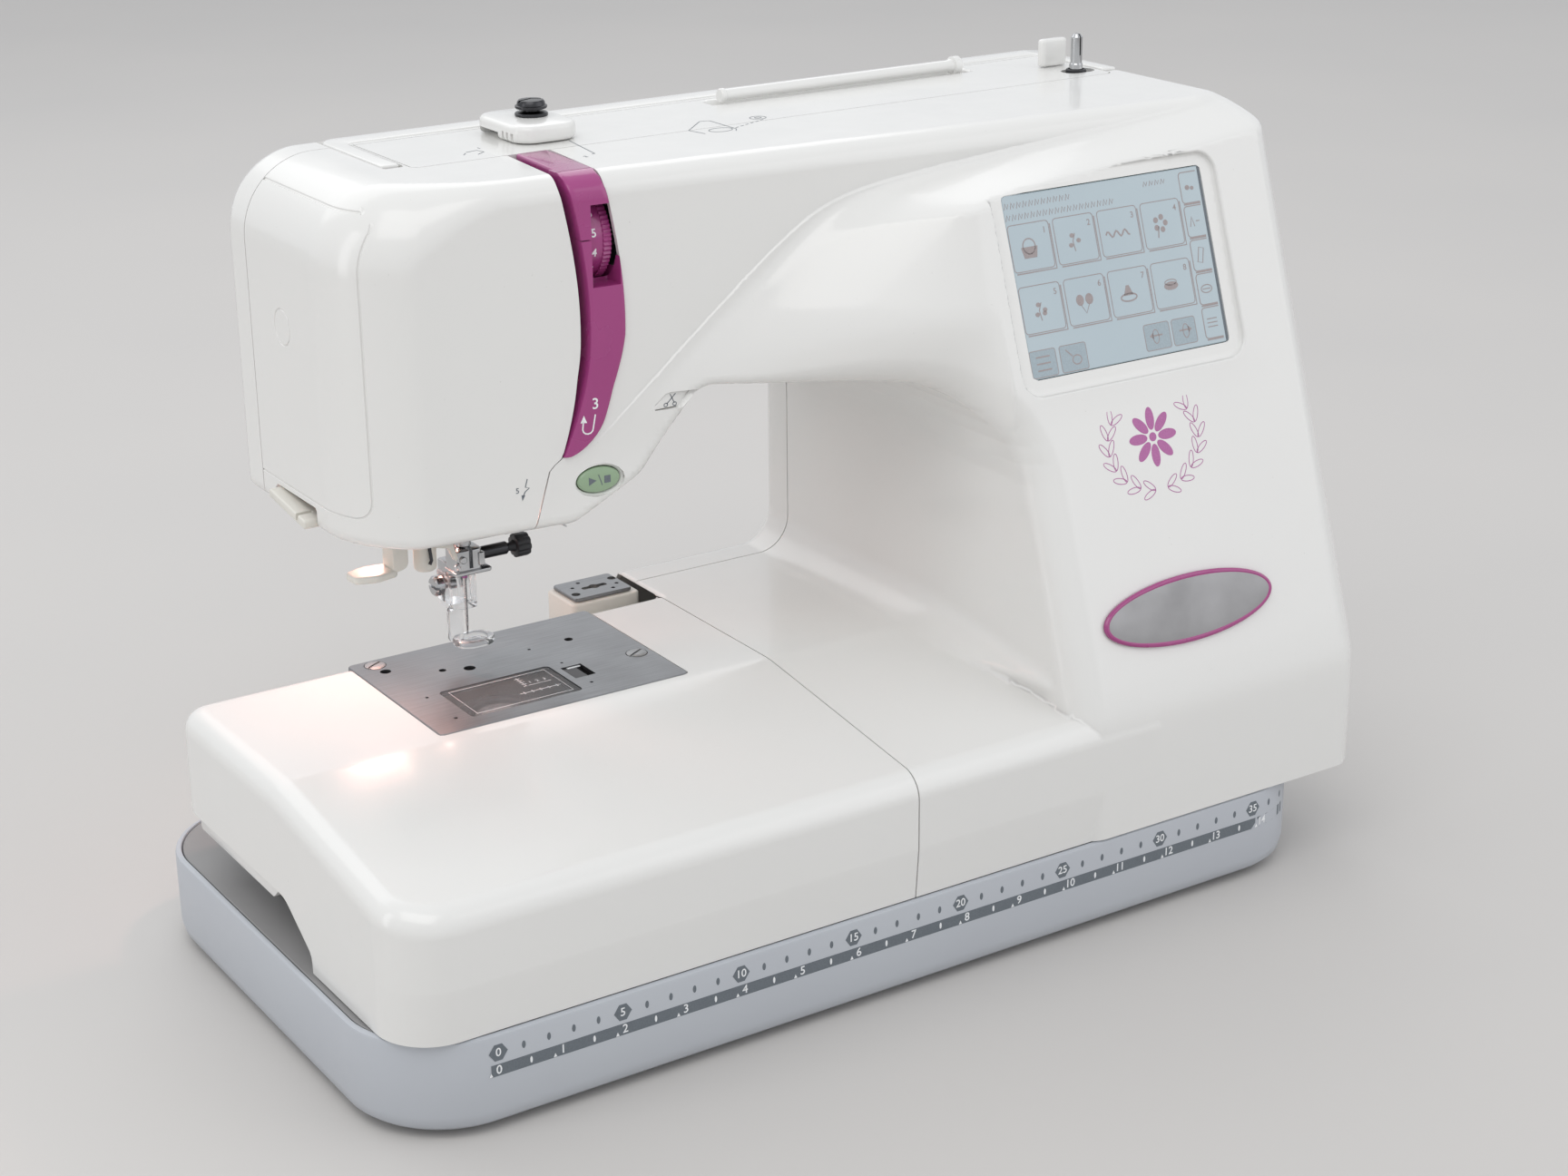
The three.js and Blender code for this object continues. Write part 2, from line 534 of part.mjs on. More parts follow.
// ---------------------------------------------------------------- needle and presser
function buildNeedle() {
  const { x, y } = needleAt;
  const crankY = mainShaft.y;
  const swing = outline([[y - 4, 226, 3], [y + 4, 226, 3], [crankY + 5, 272, 3], [crankY - 5, 277, 3]]);
  const stud = bar([x, y, 231], [82, y, 231], 2.4, 10);
  const link = alongX(swing, 81.6, 83.6).add(stud);
  add("needle_bar", bar([x, y, 153.3], [x, y, 272], 3.2).add(link), mat.chrome);
  const lip = box(x - 7, y - 7, 143, x + 9, y + 4.2, 144.6);
  const clamp = box(x - 7, y - 6, 143, x + 6, y + 4.2, 153).add(lip);
  add("needle_clamp", clamp.subtract(bar([x, y, 130], [x, y, 152], 1.4, 12)), mat.chrome);
  const screwZ = 148.5;
  const collar = bar([x + 6 + GAP, y, screwZ], [x + 19, y, screwZ], 2.6, 14);
  const neck = bar([x + 18.9, y, screwZ], [x + 22, y, screwZ], 2, 12);
  const knob = bar([x + 22, y, screwZ], [x + 28, y, screwZ], 4.8, 12);
  add("needle_clamp_screw", collar.add(neck).add(knob), mat.black);
  const point = bar([x, y, 115.5], [x, y, 121], 0.15, 10, 0.8);
  add("needle", bar([x, y, 121], [x, y, 151.6], 1.05, 10).add(point), mat.steel);
}

function buildPresser() {
  const { x, y } = presserAt;
  const spring = bar([x, y, 178], [x, y, 198], 5, 14);
  add("presser_bar", bar([x, y, 139.3], [x, y, 240], 3.2).add(spring), mat.chrome);
  const ringHole = bar([needleAt.x + 1.5, needleAt.y, 100], [needleAt.x + 1.5, needleAt.y, 120], 4.6, 16);
  const ring = alongZ(rectangle(70, 155.5, 87, 168.5, 6.2), 111.6, 114.4).subtract(ringHole);
  const shank = box(70.4, 167, 112, 77.4, 170, 126).add(box(72, 167, 124, 84, 180, 139));
  const bolt = bar([x - 10.5, y - 1, 134], [x - 5, y - 1, 134], 4.2, 14);
  add("embroidery_foot", ring.add(shank).add(bolt), mat.clear);
  const hubAt = [84, 178];
  const lever = alongY(outline([[80, 175, 2], [110, 166, 2.4], [112, 171, 2.4], [90, 181, 2]]), 196, 204);
  const hub = bar([hubAt[0], 188, hubAt[1]], [hubAt[0], 204, hubAt[1]], 4.4, 14);
  add("presser_lifter", lever.add(hub), mat.white);
}

function buildHeadPieces() {
  const paddle = alongY(rectangle(24, 150.5, 43, 154, 1.5, 3), 148, 162);
  const arm = box(40.5, 150.3, 151.7, 47.5, 160.1, 185);
  const barrel = bar([56.5, 156, 149.2], [56.5, 156, 186.3], 4.5, 16);
  const bridge = box(45.9, 153.1, 164.4, 57.3, 158.7, 170.9);
  add("needle_threader", paddle.add(arm).add(barrel).add(bridge), mat.cream);
  const guide = outline([[84, 162], [106, 162], [112, 158.5], [112.6, 160], [106, 164], [84, 164]]);
  add("lower_thread_guide", alongY(guide, 141, 150), mat.steel);
  add("lamp_lens", box(42, 176, 175.5, 64, 200, 178), mat.clear);
  const cutter = outline([[162, 172.2, 1.2], [195, 176.8, 1.2], [195, 180.6, 1.2], [162, 176.2, 1.2]], 3);
  add("thread_cutter", alongX(cutter, 10.4, 22).intersect(box(0, 161, 168, 23, 197, 180.6)), mat.cream);
}

// ---------------------------------------------------------------- thread path on the head
function buildThreadPath() {
  const left = edgePoints(guideLeft, guideFoot, 301, 16);
  const right = edgePoints(guideRight, guideFoot, 301, 16);
  const face = outline([...left, ...right.reverse()]);
  let guide = alongY(face, 106, 125);
  const proud = 1.2; // how far the strip stands out of the head's front
  const front = [80, 130].map((x) => [x, frontOfHead(x) - proud]);
  const slab = outline([...front, [130, 127], [80, 127]]);
  guide = guide.intersect(alongZ(slab, 190, 320));
  guide = guide.add(alongZ(guideTop(0), 299, 305.4).intersect(box(90, 110.5, 290, 130, 170, 306)));
  const { y: dialY, z: dialZ, r: dialR } = tensionDial;
  guide = guide.subtract(bar([108.4, dialY, dialZ], [117.8, dialY, dialZ], dialR + 0.8, 28));
  add("thread_guide_strip", guide, mat.magenta);
  add("tension_dial", toothedWheel(109, 117, dialY, dialZ, dialR, dialR - 0.8, 36), mat.magenta);
  const arm = outline([[166, 258, 3], [176, 264, 4], [143, 303, 1.5], [137, 301.5, 1.5], [138.5, 294, 2]]);
  add("take_up_lever", alongX(arm, 97.3, 99.2), mat.chrome);
  const { x, y } = pretension;
  const block = alongZ(rectangle(112, 168, 140, 208, 7), body.top + GAP, body.top + 7);
  const threadGap = box(100, 186, 300, 118, 202, 308);
  const stemHole = bar([x, y, 290], [x, y, 320], 2.4);
  add("pretension_guide", block.subtract(threadGap).subtract(stemHole), mat.white);
  const stem = bar([x, y, 298], [x, y, 319], 2, 12);
  const discs = [[0, 312], [6.5, 312], [6.5, 313.4], [3, 314.2], [6.2, 315], [6.2, 316.4], [0, 318]];
  add("pretension_disc", stem.add(turned(x, y, discs)), mat.black);
}

// ---------------------------------------------------------------- controls
function buildControls() {
  const startFront = frontOfHead(startButton.x) - 1;
  add("start_stop_button", alongY(startOval(0), startFront, startFront + 9), mat.green);
  const cutterFront = frontOfHead(141) - 1;
  add("thread_cutter_button", alongY(cutterButtonOutline(0), cutterFront, cutterFront + 9), mat.white);
  add("lcd_panel", lcdBlock(1.8, 7, -1), mat.screen);
  const oval = new THREE.Shape().absellipse(0, 0, badgeAt.rx, badgeAt.rz, 0, 2 * Math.PI);
  const badge = extrude(oval, 1.6, 14).translate(0, 0, GAP);
  badge.rotateX(Math.PI / 2 - Math.atan(tower.lean)).translate(badgeAt.x, leanY(badgeAt.z), badgeAt.z);
  add("oval_badge", solid(badge), mat.silver);
  const board = extrude(rectangle(-48, -36, 48, 36, 2), 1.6);
  board.rotateX(Math.PI / 2 - Math.atan(tower.lean)).translate(316, leanY(246) + 18, 246);
  add("circuit_board", solid(board), mat.board);
}

// ---------------------------------------------------------------- top fittings
function buildTop() {
  const z = body.top;
  add("carry_handle", handleShape(0, handle.sink + 0.6), mat.white);
  const pinZ = z + 2.6;
  const pin = bar([222, 201, pinZ], [340, 201, pinZ], 3, 14);
  add("spool_pin", pin.add(bar([340, 201, pinZ], [344, 201, pinZ], 4, 14)), mat.white);
  const { x, y } = spindleAt;
  const post = [[3, z - 5], [3, z + 3], [2.6, z + 3.6], [2.6, z + 15], [2, z + 16]];
  const profile = [[0, z - 5], ...post, [0, z + 16]];
  add("bobbin_winder_spindle", turned(x, y, profile, 16), mat.chrome);
  const arm = turned(x, y, [[3.4, z - 4.6], [4.4, z - 4.6], [4.4, z + 1], [3.4, z + 1], [3.4, z - 4.6]], 20);
  add("bobbin_winder_arm", arm, mat.black);
  add("bobbin_winder_stopper", alongZ(rectangle(x - 8, 184, x + 6, 189, 2), z + GAP, z + 12), mat.white);
}

// ---------------------------------------------------------------- embroidery carriage and connections
function buildCarriage() {
  const block = box(146, 203, 82, 179, 227, 99.2);
  const tongue = box(154, 207, 76, 171, 227, 82.5);
  add("y_carriage", block.add(tongue), mat.cream);
  let hoopPlate = alongZ(rectangle(147, 204, 178, 226, 1.5), 99.5, 101);
  hoopPlate = hoopPlate.subtract(alongZ(rectangle(158, 213, 168, 217, 1.9), 98, 102));
  for (const x of [151.5, 174.5]) {
    hoopPlate = hoopPlate.subtract(bar([x, 215, 98], [x, 215, 102], 2, 12));
  }
  add("hoop_plate", hoopPlate, mat.steel);
  const beam = box(146, 205.4, 58, 330, 222, 75.6).subtract(box(140, 209, 60, 326, 219, 90));
  add("x_carriage", beam, mat.cream);
  const rail = bar([188, 214, 50], [404, 214, 50], 3, 14);
  add("x_rail_unit", rail.add(box(366, 208, 46, 398, 221, 94)), mat.steel);
}

function buildConnections() {
  const panel = box(400, 133, 60, 412.6, 199, 90);
  const inletWell = box(404, 172, 65, 420, 192, 85);
  add("power_inlet", panel.subtract(inletWell).subtract(box(403, 137, 64, 420, 156, 84)), mat.black);
  const rocker = outline([[405, 65.5], [411, 64.9], [413.5, 74], [411.6, 83.1], [405, 82.5]]);
  add("power_switch", alongY(rocker, 137.4, 155.6), mat.black);
}

buildBase();
buildBed();
buildCovers();
buildHook();
buildDrive();
buildFrame();
buildNeedle();
buildPresser();
buildHeadPieces();
buildThreadPath();
buildControls();
buildTop();
buildCarriage();
buildConnections();

machine.position.set(-CENTRE_X, -CENTRE_Y, FOOT_DROP);
const sewingMachine = new THREE.Group();
sewingMachine.add(machine);

export default sewingMachine;
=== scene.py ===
# The looks of a computerised embroidery sewing machine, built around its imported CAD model.
# Lengths are millimetres in the machine's own frame: x along the base from the ruler's zero, y back from the
# base's front face, z up from the base's lower edge. place() turns them into metres in the frame's axes.
import json
import math

import bmesh
import bpy
import numpy as np
from mathutils import Matrix, Vector

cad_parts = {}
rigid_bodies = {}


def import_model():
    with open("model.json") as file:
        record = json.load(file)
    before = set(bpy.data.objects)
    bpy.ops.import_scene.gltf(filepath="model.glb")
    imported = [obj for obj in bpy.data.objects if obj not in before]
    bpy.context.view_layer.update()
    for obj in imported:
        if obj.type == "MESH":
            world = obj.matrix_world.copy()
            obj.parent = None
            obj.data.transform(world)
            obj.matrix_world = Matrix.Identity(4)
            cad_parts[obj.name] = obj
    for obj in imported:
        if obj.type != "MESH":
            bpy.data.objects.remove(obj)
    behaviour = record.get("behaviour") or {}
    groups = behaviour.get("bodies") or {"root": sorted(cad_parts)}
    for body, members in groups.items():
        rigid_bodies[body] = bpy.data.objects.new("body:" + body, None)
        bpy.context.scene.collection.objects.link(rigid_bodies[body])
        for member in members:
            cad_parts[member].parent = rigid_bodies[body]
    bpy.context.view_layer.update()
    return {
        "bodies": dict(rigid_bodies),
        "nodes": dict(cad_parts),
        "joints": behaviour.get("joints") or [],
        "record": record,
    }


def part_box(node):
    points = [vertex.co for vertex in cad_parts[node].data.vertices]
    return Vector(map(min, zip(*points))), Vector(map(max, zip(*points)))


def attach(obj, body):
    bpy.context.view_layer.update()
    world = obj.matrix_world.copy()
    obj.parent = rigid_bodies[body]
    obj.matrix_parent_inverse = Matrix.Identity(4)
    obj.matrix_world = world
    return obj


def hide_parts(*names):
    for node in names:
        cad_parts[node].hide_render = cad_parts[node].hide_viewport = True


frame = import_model()
BASE_LEFT = 40.0  # the base's left end is this far left of the ruler's zero
MM = 0.001
base_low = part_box("base_tray")[0]
ORIGIN = np.array([base_low.x + BASE_LEFT * MM, base_low.y, base_low.z])


def place(points):
    """Points in the machine's millimetres, as metres in the frame's axes."""
    return np.asarray(points, float) * MM + ORIGIN


# ---------------------------------------------------------------- driving dimensions
WALL = 2.2  # thickness of a moulded cover
SEAM = 0.28  # half the gap between two covers
GRID = 2.2  # spacing of the grid that the skin is found on
LEFT, RIGHT, BACK, TOP = 15.0, 412.0, 228.0, 305.0  # the upper body
BED_LEFT, BED_SEAM, BED_BACK, BED_FLOOR, DECK = -35.0, 180.0, 194.0, 36.8, 101.0
CREASE_Y, BROW, BREAK_Z = 103.0, 87.0, 58.0  # where the deck turns down, the brow's height, the low facet
LEAN_FROM, LEAN = 85.0, 0.34  # the tower's front leans back above this height
HEAD_FLOOR, THROAT_TOP, THROAT_X = 172.0, 215.0, 259.5
REAR_SEAM = 210.0
LID = (62.0, 395.0, 158.0)  # left, right and front edges of the lid
RIDGE_X = 255.0  # left end of the tower's flat front
SLOPE = math.hypot(1.0, LEAN)  # length along the leaning front for each step up
PLATE_TOP = DECK + 0.2
HOOK_AT, NEEDLE_AT, PRESSER_AT, THREADER_AT = (74, 131), (76, 162), (78, 175), (56.5, 156)  # their x and y
WINDER_AT, PRETENSION_AT = (385, 171), (129, 190)
DIAL_AT, DIAL_R = (128.5, 279), 16.6  # y and z of the tension dial's middle, and its radius
WHEEL_AT = (182, 262)  # y and z of the handwheel's middle


# ---------------------------------------------------------------- fields
def ramp(t):
    t = np.clip(t, 0.0, 1.0)
    return t * t * (3 - 2 * t)


def both(a, b, r):
    """The overlap of two fields, its edge rounded to radius r."""
    return np.minimum(np.maximum(a, b), -r) + np.hypot(np.maximum(a + r, 0), np.maximum(b + r, 0))


def either(a, b, r):
    """The union of two fields, its inner corner filled to radius r."""
    return -both(-a, -b, r)


def outline(corners, steps=8):
    """A closed outline: (x, y) is a corner and (x, y, r) is one rounded to radius r."""
    points = []
    for i, corner in enumerate(corners):
        here = Vector(corner[:2])
        r = corner[2] if len(corner) > 2 else 0
        if r <= 0:
            points.append(tuple(here))
            continue
        back = (Vector(corners[i - 1][:2]) - here).normalized()
        ahead = (Vector(corners[(i + 1) % len(corners)][:2]) - here).normalized()
        half = math.acos(max(-1, min(1, back.dot(ahead)))) / 2
        centre = here + (back + ahead).normalized() * (r / math.sin(half))
        start = here + back * (r / math.tan(half)) - centre
        turn = math.copysign(math.pi - 2 * half, -(back.x * ahead.y - back.y * ahead.x))
        for k in range(steps + 1):
            a = turn * k / steps
            c, s = math.cos(a), math.sin(a)
            points.append((centre.x + c * start.x - s * start.y, centre.y + s * start.x + c * start.y))
    return points


def flat_field(u, v, points):
    """Signed distance to a closed outline, negative inside."""
    best = None
    inside = None
    for (ax, ay), (bx, by) in zip(points, points[1:] + points[:1]):
        ex, ey = bx - ax, by - ay
        if ex * ex + ey * ey < 1e-12:
            continue
        t = np.clip(((u - ax) * ex + (v - ay) * ey) / (ex * ex + ey * ey), 0, 1)
        d = (u - ax - t * ex) ** 2 + (v - ay - t * ey) ** 2
        best = d if best is None else np.minimum(best, d)
        crosses = ((v >= ay) != (v >= by)) & (u < ax + (v - ay) * (ex / ey if ey else 0))
        inside = crosses if inside is None else inside ^ crosses
    return np.where(inside, -1.0, 1.0) * np.sqrt(best)


def slab(u, v, u0, v0, u1, v1, r):
    """Signed distance to a rectangle with corners of radius r."""
    du = np.abs(u - (u0 + u1) / 2) - (u1 - u0) / 2 + r
    dv = np.abs(v - (v0 + v1) / 2) - (v1 - v0) / 2 + r
    return np.hypot(np.maximum(du, 0), np.maximum(dv, 0)) + np.minimum(np.maximum(du, dv), 0) - r


# The crease that sweeps up from the buttons to the tower's top right corner is a hyperbola of two lines.
def crease_z(x):
    steep = 224.0 + 0.88 * (x - 130.4)
    shallow = 291.6 + 0.082 * (x - 236.0)
    return (steep + shallow) / 2 - np.hypot((steep - shallow) / 2, 8.0)


CREASE_TABLE = np.linspace(-60.0, 560.0, 1200)


def crease_x(z):
    return np.interp(z, crease_z(CREASE_TABLE), CREASE_TABLE)


def head_front(x):
    return 110.5 - 0.075 * (x - 100.0)


def tower_front(z):
    rise = (z - LEAN_FROM) * LEAN
    return (rise + np.hypot(rise, 1.6)) / 2


def front_of(x, z):
    """How far back the front surface of head, arm and tower lies."""
    start = crease_x(z)
    width = np.maximum(RIDGE_X - start, 42.0)
    u = np.clip((x - start) / width, 0, 1)
    cove = (1 - np.sqrt(1 - (u * 0.97) ** 2)) / (1 - math.sqrt(1 - 0.97**2))
    soft = ramp((z - 196.0) / 52.0)
    across = cove * (1 - soft) + ramp(u) * soft
    shoulder = ramp((crease_z(x) - z) / 11.5)
    below = crease_z(x) - z
    step = 1.1 * ramp((below + 0.3) / 1.4) * ramp((z - 196.0) / 24.0) * ramp((395.0 - x) / 40.0)
    head = head_front(x)
    return head - step - (head - tower_front(z)) * across * shoulder


def throat_outline():
    return outline(
        [
            (-90, HEAD_FLOOR),
            (99, HEAD_FLOOR, 14),
            (126.5, 187.5, 24),
            (151.5, THROAT_TOP + 4.5, 11),
            (THROAT_X, THROAT_TOP - 2.5, 38),
            (THROAT_X, -60),
            (-90, -60),
        ]
    )


def notch_outline():
    return outline([(76, 10), (76, 44, 6), (98, 58.3, 14), (260, 58.3), (260, 10)])


THROAT = throat_outline()
NOTCH = notch_outline()
LCD_AT = ((266.3 + 367.0) / 2, (216.0 + 284.4) / 2)
LCD_SIZE = (367.0 - 266.3, (284.4 - 216.0) * SLOPE)


def on_tower(x, y, z):
    """Coordinates across, up and out of the tower's leaning front, from the screen's middle."""
    dy = y - (LCD_AT[1] - LEAN_FROM) * LEAN
    dz = z - LCD_AT[1]
    return x - LCD_AT[0], (dy * LEAN + dz) / SLOPE, (dz * LEAN - dy) / SLOPE


def upper_body(x, y, z):
    ahead = (front_of(x, z) - y) * 0.95
    ends = both(both(LEFT - x, z - TOP, 30.0), x - RIGHT, 13.0)
    edge = 9.0 + 25.0 * ramp((78.0 - x) / 60.0) + 9.0 * ramp((x - 385.0) / 20.0)
    body = both(ahead, ends, edge)
    body = both(body, y - BACK, 5.0)
    lip = 4.0 + 9.0 * ramp((x - 160.0) / 60.0) * ramp((150.0 - y) / 30.0)
    body = both(body, -flat_field(x, z, THROAT), lip)
    return both(body, BED_FLOOR - 4 - z, 1.0)


def bed_body(x, y, z):
    low_facet = np.maximum(BREAK_Z - z, 0) * 0.09
    fall = (CREASE_Y - y) * (DECK - BROW) / CREASE_Y
    deck = z - DECK + (fall + np.hypot(fall, 0.35)) / 2
    plan = both(both(BED_LEFT - x, low_facet - y, 22.0), y - BED_BACK, 10.0)
    arm = np.maximum(both(plan, deck, 9.0), x - 190.0)
    front = both(low_facet - y, deck, 9.0)
    foot = both(both(front, y - BACK, 5.0), np.maximum(BED_SEAM - x, x - 300.0), 1.5)
    return both(np.minimum(arm, foot), BED_FLOOR - 4 - z, 1.0)


def bezel(u, v):
    """The outline of the shallow recess round the screen."""
    return slab(u, v, -56.5, -LCD_SIZE[1] / 2 - 6.5, 56.5, LCD_SIZE[1] / 2 + 5.0, 9.0)


def bezel_line(x, y, z):
    u, v, out = on_tower(x, y, z)
    return np.where(np.abs(out) < 9.0, bezel(u, v), 9.0)


def skin(x, y, z):
    fillet = 0.01 + 15.0 * ramp((z - 90.0) / 9.0) * ramp((y - 6.0) / 22.0)
    body = either(upper_body(x, y, z), bed_body(x, y, z), fillet)
    u, v, out = on_tower(x, y, z)
    body = both(body, -both(bezel(u, v), np.abs(out) - 1.5, 1.2), 1.0)
    groove = np.hypot(y - 201.5, z - TOP - 1.2) - 5.0
    groove = both(groove, np.abs(x - 283.0) - 66.0, 2.0)
    return both(body, -groove, 0.8)


# ---------------------------------------------------------------- meshing
def gradient(field, p, e=0.05):
    """The slope of a field at some points."""
    cols = []
    for axis in range(3):
        step = np.zeros(3)
        step[axis] = e
        a, b = p + step, p - step
        cols.append((field(a[:, 0], a[:, 1], a[:, 2]) - field(b[:, 0], b[:, 1], b[:, 2])) / (2 * e))
    return np.stack(cols, axis=1)


def settle(field, p, rounds=3):
    """Moves points onto the field's surface and returns them with the surface's normals."""
    for _ in range(rounds):
        g = gradient(field, p)
        value = field(p[:, 0], p[:, 1], p[:, 2])
        move = (value / np.maximum((g * g).sum(1), 0.2))[:, None] * g
        length = np.linalg.norm(move, axis=1, keepdims=True)
        p = p - move * np.minimum(1, 1.5 / np.maximum(length, 1e-9))
    g = gradient(field, p)
    return p, g / np.maximum(np.linalg.norm(g, axis=1, keepdims=True), 1e-9)


def surface_net(field, low, high, h):
    """Triangles of a field's surface, one point in each grid cell that the surface crosses."""
    axes = [np.arange(a - 2 * h, b + 3 * h, h) for a, b in zip(low, high)]
    x, y, z = axes[0][:, None, None], axes[1][None, :, None], axes[2][None, None, :]
    value = field(x, y, z)
    inside = value < 0
    n = np.array(value.shape)
    cells = np.zeros(n - 1, bool)
    total = np.zeros((*(n - 1), 3), np.float32)
    count = np.zeros(n - 1, np.float32)
    for axis in range(3):
        lo = [slice(None)] * 3
        hi = [slice(None)] * 3
        lo[axis], hi[axis] = slice(0, -1), slice(1, None)
        a, b = value[tuple(lo)], value[tuple(hi)]
        crossed = (a < 0) != (b < 0)
        i, j, k = np.nonzero(crossed)
        t = a[i, j, k] / (a[i, j, k] - b[i, j, k])
        at = np.stack([i, j, k], axis=1).astype(np.float32)
        at[:, axis] += t
        others = [q for q in range(3) if q != axis]
        for d0 in (0, 1):
            for d1 in (0, 1):
                cell = np.stack([i, j, k], axis=1)
                cell[:, others[0]] -= d0
                cell[:, others[1]] -= d1
                good = (cell >= 0).all(1) & (cell < n - 1).all(1)
                c = tuple(cell[good].T)
                np.add.at(total, c, at[good])
                np.add.at(count, c, 1)
                cells[c] = True
    index = np.full(n - 1, -1, np.int64)
    where = np.nonzero(cells)
    index[where] = np.arange(len(where[0]))
    points = total[where] / count[where][:, None] * h + np.array([a[0] for a in axes])
    faces = []
    for axis in range(3):
        o0, o1 = [(axis + 1) % 3, (axis + 2) % 3]
        lo = [slice(1, -1)] * 3
        hi = [slice(1, -1)] * 3
        lo[axis], hi[axis] = slice(0, -1), slice(1, None)
        a, b = inside[tuple(lo)], inside[tuple(hi)]
        at = np.stack(np.nonzero(a != b), axis=1)
        flip = a[tuple(at.T)]
        for q in (o0, o1):
            at[:, q] += 1
        corner = []
        for d0, d1 in ((0, 0), (1, 0), (1, 1), (0, 1)):
            cell = at.copy()
            cell[:, o0] -= d0
            cell[:, o1] -= d1
            corner.append(index[tuple(cell.T)])
        quad = np.stack(corner, axis=1)
        quad = np.where(flip[:, None], quad, quad[:, ::-1])
        faces.append(quad)
    quads = np.concatenate(faces)
    return points.astype(float), np.concatenate([quads[:, [0, 1, 2]], quads[:, [0, 2, 3]]])


def split(points, triangles, field, snap=0.35):
    """Cuts triangles along a field's zero line. Returns points, triangles and the sign of each triangle."""
    value = field(points[:, 0], points[:, 1], points[:, 2])
    near = np.nonzero(np.abs(value) < snap)[0]
    if len(near):
        g = gradient(field, points[near])
        _, n = settle(skin, points[near], 0)
        g = g - (g * n).sum(1, keepdims=True) * n
        size = (g * g).sum(1)
        good = size > 0.15
        near, g, size = near[good], g[good], size[good]
        points = points.copy()
        points[near] -= (value[near] / size)[:, None] * g
        value[near] = 0.0
    value[np.abs(value) < 1e-6] = 0.0
    sign = np.sign(value[triangles])
    crossing = (sign.max(1) > 0) & (sign.min(1) < 0)
    whole, cut = triangles[~crossing], triangles[crossing]
    s = sign[crossing]
    edges = np.concatenate([cut[:, [0, 1]], cut[:, [1, 2]], cut[:, [2, 0]]])
    es = np.concatenate([s[:, [0, 1]], s[:, [1, 2]], s[:, [2, 0]]])
    edges = np.sort(edges[es[:, 0] * es[:, 1] < 0], axis=1)
    made, _ = np.unique(edges, axis=0, return_inverse=True)
    t = value[made[:, 0]] / (value[made[:, 0]] - value[made[:, 1]])
    fresh = points[made[:, 0]] * (1 - t[:, None]) + points[made[:, 1]] * t[:, None]
    lookup = {(a, b): len(points) + i for i, (a, b) in enumerate(made.tolist())}

    def between(a, b):
        return lookup[(a, b) if a < b else (b, a)]

    pieces = []
    for tri, sg in zip(cut.tolist(), s.tolist()):
        if 0 in sg:
            r = sg.index(0)
            a, b, c = tri[r], tri[(r + 1) % 3], tri[(r + 2) % 3]
            m = between(b, c)
            pieces += [(a, b, m), (a, m, c)]
            continue
        r = next(i for i in range(3) if sg[i] != sg[(i + 1) % 3] and sg[i] != sg[(i + 2) % 3])
        a, b, c = tri[r], tri[(r + 1) % 3], tri[(r + 2) % 3]
        m, q = between(a, b), between(a, c)
        pieces += [(a, m, q), (m, b, c), (m, c, q)]
    triangles = np.concatenate([whole, np.array(pieces, np.int64).reshape(-1, 3)])
    points = np.concatenate([points, fresh])
    value = np.concatenate([value, np.zeros(len(fresh))])
    side = np.sign(value[triangles].sum(1))
    return points, triangles, side


def keep(mesh, field, snap=0.35):
    """The part of a mesh where the field is negative."""
    points, triangles, side = split(*mesh, field, snap)
    return compact(points, triangles[side < 0])


def drop(mesh, field, snap=0.35):
    """The part of a mesh where the field is positive."""
    return keep(mesh, lambda x, y, z: -field(x, y, z), snap)


def score(mesh, field, offsets=(0.0,)):
    """Adds edges along the lines where a field has the given values."""
    for offset in offsets:
        points, triangles, _ = split(*mesh, lambda x, y, z, o=offset: field(x, y, z) - o, 0.2)
        mesh = points, triangles
    return mesh


def compact(points, triangles):
    """Leaves out the points that no triangle uses."""
    used = np.unique(triangles)
    renumber = np.full(len(points), -1, np.int64)
    renumber[used] = np.arange(len(used))
    return points[used], renumber[triangles]


def shell(mesh, dents=(), thick=WALL):
    """Gives a sheet of the skin its thickness: outer face, inner face and rim. dents push places inwards."""
    points, triangles = mesh
    points, normal = settle(skin, points, 2)
    edges = np.concatenate([triangles[:, [0, 1]], triangles[:, [1, 2]], triangles[:, [2, 0]]])
    key = np.sort(edges, axis=1)
    _, inverse, counts = np.unique(key, axis=0, return_inverse=True, return_counts=True)
    rim = edges[counts[inverse.ravel()] == 1]
    depth = np.zeros(len(points))
    for field, half, deep in dents:
        value = np.abs(field(points[:, 0], points[:, 1], points[:, 2]))
        depth = np.maximum(depth, deep * (value < half * 0.6))
    outer = points - normal * depth[:, None]
    inner = points - normal * thick
    n = len(points)
    a, b = rim[:, 0], rim[:, 1]
    wall = np.concatenate([np.stack([b, a, a + n], axis=1), np.stack([b, a + n, b + n], axis=1)])
    faces = np.concatenate([triangles, triangles[:, ::-1] + n, wall])
    p = np.concatenate([outer, inner])
    loops = faces.ravel()
    both_normals = np.concatenate([normal, -normal])
    corner = both_normals[loops]
    if any(d[2] for d in dents):
        corner = tilt(corner, faces, p, depth, n)
    first = 3 * 2 * len(triangles)
    w = p[wall]
    flat = np.cross(w[:, 1] - w[:, 0], w[:, 2] - w[:, 0])
    flat /= np.maximum(np.linalg.norm(flat, axis=1, keepdims=True), 1e-9)
    corner[first:] = np.repeat(flat, 3, axis=0)
    return p, faces, corner


